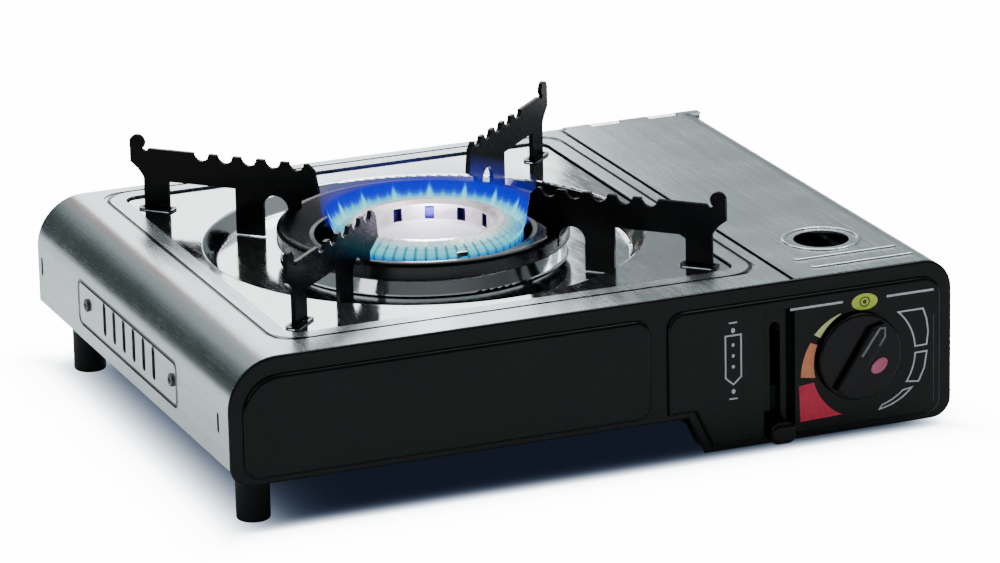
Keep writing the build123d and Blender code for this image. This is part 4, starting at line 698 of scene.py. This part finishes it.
def tall_flame():
    """The blue wall of flame, with a few taller roots; it thins out in front of the head."""
    flame = Flame("tall_flame", -5.5, 5.6, 1.6)
    small = flame.maths("MULTIPLY", flame.spikes(JETS, 0, 1.0), 0.07)
    tall = flame.maths("MULTIPLY", flame.spikes(17, 68.2, 10.0), 0.30)
    lifted = flame.maths("SUBTRACT", flame.maths("SUBTRACT", flame.rise, small), tall)
    colour = flame.ramp(
        lifted,
        [
            (0.0, (0.25, 0.95, 1.0)),
            (0.26, (0.06, 0.62, 0.90)),
            (0.42, (0.0, 0.10, 0.72)),
            (0.55, BLUE),
            (1.0, (0.0, 0.0, 0.48)),
        ],
    )
    height = flame.ramp(flame.rise, [(0.0, grey(0.92)), (0.86, grey(0.92)), (1.0, grey(0.0))])
    thinning = flame.remap(flame.forward, 1.0, 0.05, 0.006, 0.028)
    return flame.finish(colour, flame.maths("MULTIPLY", height, thinning))


def root_flame():
    """Pale roots that cling to the crown of the head, with dark slots between them."""
    flame = Flame("root_flame", -9.4, 0.7, 1.5)
    colour = flame.ramp(
        flame.rise,
        [
            (0.0, (0.0, 0.05, 0.42)),
            (0.24, (0.0, 0.22, 0.66)),
            (0.5, (0.03, 0.62, 0.80)),
            (0.8, (0.25, 0.92, 0.96)),
            (1.0, (0.9, 1.0, 1.0)),
        ],
    )
    height = flame.ramp(flame.rise, [(0.0, grey(0.75)), (0.6, grey(0.8)), (1.0, grey(0.35))])
    slots = flame.maths("SUBTRACT", 1.0, flame.maths("MULTIPLY", flame.spikes(JETS, 0, 1.5), 0.6))
    return flame.finish(colour, flame.maths("MULTIPLY", height, slots))


def haze_flame():
    """A faint glow that spills over the tips of the flame."""
    flame = Flame("haze_flame", 0.0, 17.0, 1.1)
    colour = flame.ramp(
        flame.rise, [(0.0, (0.0, 0.0, 0.75)), (0.5, (0.03, 0.03, 0.8)), (1.0, (0.12, 0.12, 0.8))]
    )
    height = flame.ramp(
        flame.rise, [(0.0, grey(0.0)), (0.22, grey(0.62)), (0.42, grey(0.30)), (1.0, grey(0.0))]
    )
    thinning = flame.remap(flame.forward, 1.0, 0.0, -0.012, 0.024)
    return flame.finish(colour, flame.maths("MULTIPLY", height, thinning))


for flame_name, flame_profile, make_flame in (
    ("tall_flame", [(HEAD, -5.5), (HEAD + 1.8, -2.0), (HEAD + 3.6, 2.0), (HEAD + 4.2, 5.6)], tall_flame),
    (
        "root_flame",
        [(HEAD + 0.7, -9.4), (HEAD + 0.7, -5.2), (HEAD - 1.6, -3.1), (37.0, -0.9), (33.0, 0.7)],
        root_flame,
    ),
    ("haze_flame", [(HEAD + 4.6, 0.0), (HEAD + 6.2, 5.0), (HEAD + 7.0, 17.0)], haze_flame),
):
    revolved(flame_name, flame_profile).data.materials.append(make_flame())


# ---- studio -----------------------------------------------------------------------------
WHITE = 15.0                 # strength that the lens sees as pure white


def make_floor():
    """A plain white floor, evenly lit for the lens, with a soft shadow under the stove."""
    size = 16.0
    signs = ((-1, -1), (1, -1), (1, 1), (-1, 1))
    data = bpy.data.meshes.new("floor")
    data.from_pydata([(x * size, y * size, 0) for x, y in signs], [], [(0, 1, 2, 3)])
    floor = add_object("floor", data)
    paper = Graph("paper")
    x, y, _ = paper.axes()
    edge_reach, edge_dimming = 9.0, 0.55    # the shadow just outside the case
    depths = (                              # in from each edge of the case, and light's reach there
        (paper.maths("SUBTRACT", x, shell_low.x), 7.2),
        (paper.maths("SUBTRACT", -shell_low.x, x), 4.0),
        (paper.maths("SUBTRACT", y, shell_low.y), 2.6),
        (paper.maths("SUBTRACT", shell_high.y, y), 5.0),
    )
    light = 0.0
    outside = 0.0
    for depth, reach in depths:
        inner = paper.maths("MULTIPLY", paper.maths("MAXIMUM", depth, 0.0), -1 / (reach * MM))
        light = paper.maths("ADD", light, paper.maths("EXPONENT", inner))
        outside = paper.maths("MAXIMUM", outside, paper.maths("MULTIPLY", depth, -1.0))
    tail = paper.maths("EXPONENT", paper.maths("MULTIPLY", outside, -1 / (edge_reach * MM)))
    dimmed = paper.maths("SUBTRACT", 1.0, paper.maths("MULTIPLY", tail, edge_dimming))
    light = paper.maths("MULTIPLY", paper.maths("MINIMUM", light, 1.0), dimmed)
    mixed = paper.node("ShaderNodeCombineXYZ")
    for socket, power, least in zip(mixed.inputs, (1.05, 1.0, 0.94), (0.0006, 0.0008, 0.0016)):
        paper.link(paper.maths("ADD", paper.maths("POWER", light, power), least), socket)
    shown = paper.node("ShaderNodeEmission")
    shown.inputs["Strength"].default_value = WHITE
    paper.link(mixed.outputs[0], shown.inputs["Color"])
    diffuse = paper.node("ShaderNodeBsdfDiffuse")
    diffuse.inputs["Color"].default_value = (0.80, 0.81, 0.82, 1)
    seen = paper.node("ShaderNodeLightPath")
    paper.surface(paper.blend(seen.outputs["Is Camera Ray"], diffuse.outputs[0], shown.outputs[0]))
    data.materials.append(paper.material)


def make_flag(name, azimuth, distance, width, height, colour):
    """A card that only reflections see, this far from the stove, its azimuth from +Y to the right."""
    way = Vector((sin(radians(azimuth)), cos(radians(azimuth)), 0))
    side = Vector((way.y, -way.x, 0)) * width / 2
    corners = [way * distance - side, way * distance + side]
    corners += [c + Vector((0, 0, height)) for c in reversed(corners)]
    data = bpy.data.meshes.new(name)
    data.from_pydata(corners, [], [(0, 1, 2, 3)])
    flag = add_object(name, data)
    cloth = Graph(name)
    shown = cloth.node("ShaderNodeEmission")
    shown.inputs["Color"].default_value = (*colour, 1)
    cloth.surface(shown.outputs[0])
    data.materials.append(cloth.material)
    flag.visible_camera = False
    flag.visible_diffuse = False
    flag.visible_shadow = False


def make_world():
    """A soft grey studio, darker near the horizon and towards the front, and white to the lens."""
    world = bpy.data.worlds.new("studio")
    bpy.context.scene.world = world
    world.use_nodes = True
    tree = world.node_tree
    tree.nodes.clear()
    place = tree.nodes.new("ShaderNodeTexCoord")
    axes = tree.nodes.new("ShaderNodeSeparateXYZ")
    tree.links.new(place.outputs["Generated"], axes.inputs[0])
    heights = tree.nodes.new("ShaderNodeValToRGB")
    set_stops(heights.color_ramp, [
        (0.0, (0.22, 0.24, 0.25)),
        (0.13, (0.18, 0.205, 0.21)),
        (0.36, (0.30, 0.33, 0.34)),
        (0.60, (0.95, 0.97, 1.0)),
    ])
    tree.links.new(axes.outputs["Z"], heights.inputs[0])
    depth = tree.nodes.new("ShaderNodeMapRange")
    for key, value in (("From Min", -0.6), ("From Max", 0.5), ("To Min", 0.25), ("To Max", 1.1)):
        depth.inputs[key].default_value = value
    tree.links.new(axes.outputs["Y"], depth.inputs["Value"])
    studio = tree.nodes.new("ShaderNodeBackground")
    tree.links.new(heights.outputs["Color"], studio.inputs["Color"])
    tree.links.new(depth.outputs[0], studio.inputs["Strength"])
    white = tree.nodes.new("ShaderNodeBackground")
    white.inputs["Color"].default_value = (1, 1, 1, 1)
    white.inputs["Strength"].default_value = WHITE
    seen = tree.nodes.new("ShaderNodeLightPath")
    either = tree.nodes.new("ShaderNodeMixShader")
    tree.links.new(seen.outputs["Is Camera Ray"], either.inputs[0])
    tree.links.new(studio.outputs[0], either.inputs[1])
    tree.links.new(white.outputs[0], either.inputs[2])
    output = tree.nodes.new("ShaderNodeOutputWorld")
    tree.links.new(either.outputs[0], output.inputs["Surface"])


def add_lamp(name, kind, place, power, colour):
    """A lamp that the lens doesn't see."""
    data = bpy.data.lights.new(name, kind)
    data.energy = power
    data.color = colour
    lamp = add_object(name, data)
    lamp.location = place
    lamp.visible_camera = False
    return lamp


def softbox(name, place, aim, width, height, power):
    lamp = add_lamp(name, "AREA", place, power, (1, 1, 1))
    lamp.data.shape = "RECTANGLE"
    lamp.data.size = width
    lamp.data.size_y = height
    lamp.rotation_euler = (Vector(aim) - Vector(place)).to_track_quat("-Z", "Y").to_euler()


def glow_lamp(name, place, radius, power, colour):
    lamp = add_lamp(name, "POINT", place, power, colour)
    lamp.data.shadow_soft_size = radius


make_floor()
make_flag("dark_flag", -32, 1.0, 1.1, 0.47, (0.05, 0.066, 0.062))
make_flag("warm_card", -4, 0.98, 0.11, 0.66, (0.52, 0.24, 0.17))
make_world()
softbox("overhead", (0.5, 0.7, 1.7), (0, 0, 0), 1.5, 1.2, 46)
softbox("behind", (0.31, 1.45, 0.58), (0.31, 0, 0.30), 0.66, 0.5, 3.6)
softbox("left_strip", (-1.3, -0.5, 0.9), (0, 0, 0.05), 0.4, 1.0, 2.5)
glow_lamp("burner_glow", BURNER + Vector((0, 0, 0.003)), 0.012, 0.36, (0.80, 0.76, 1.0))
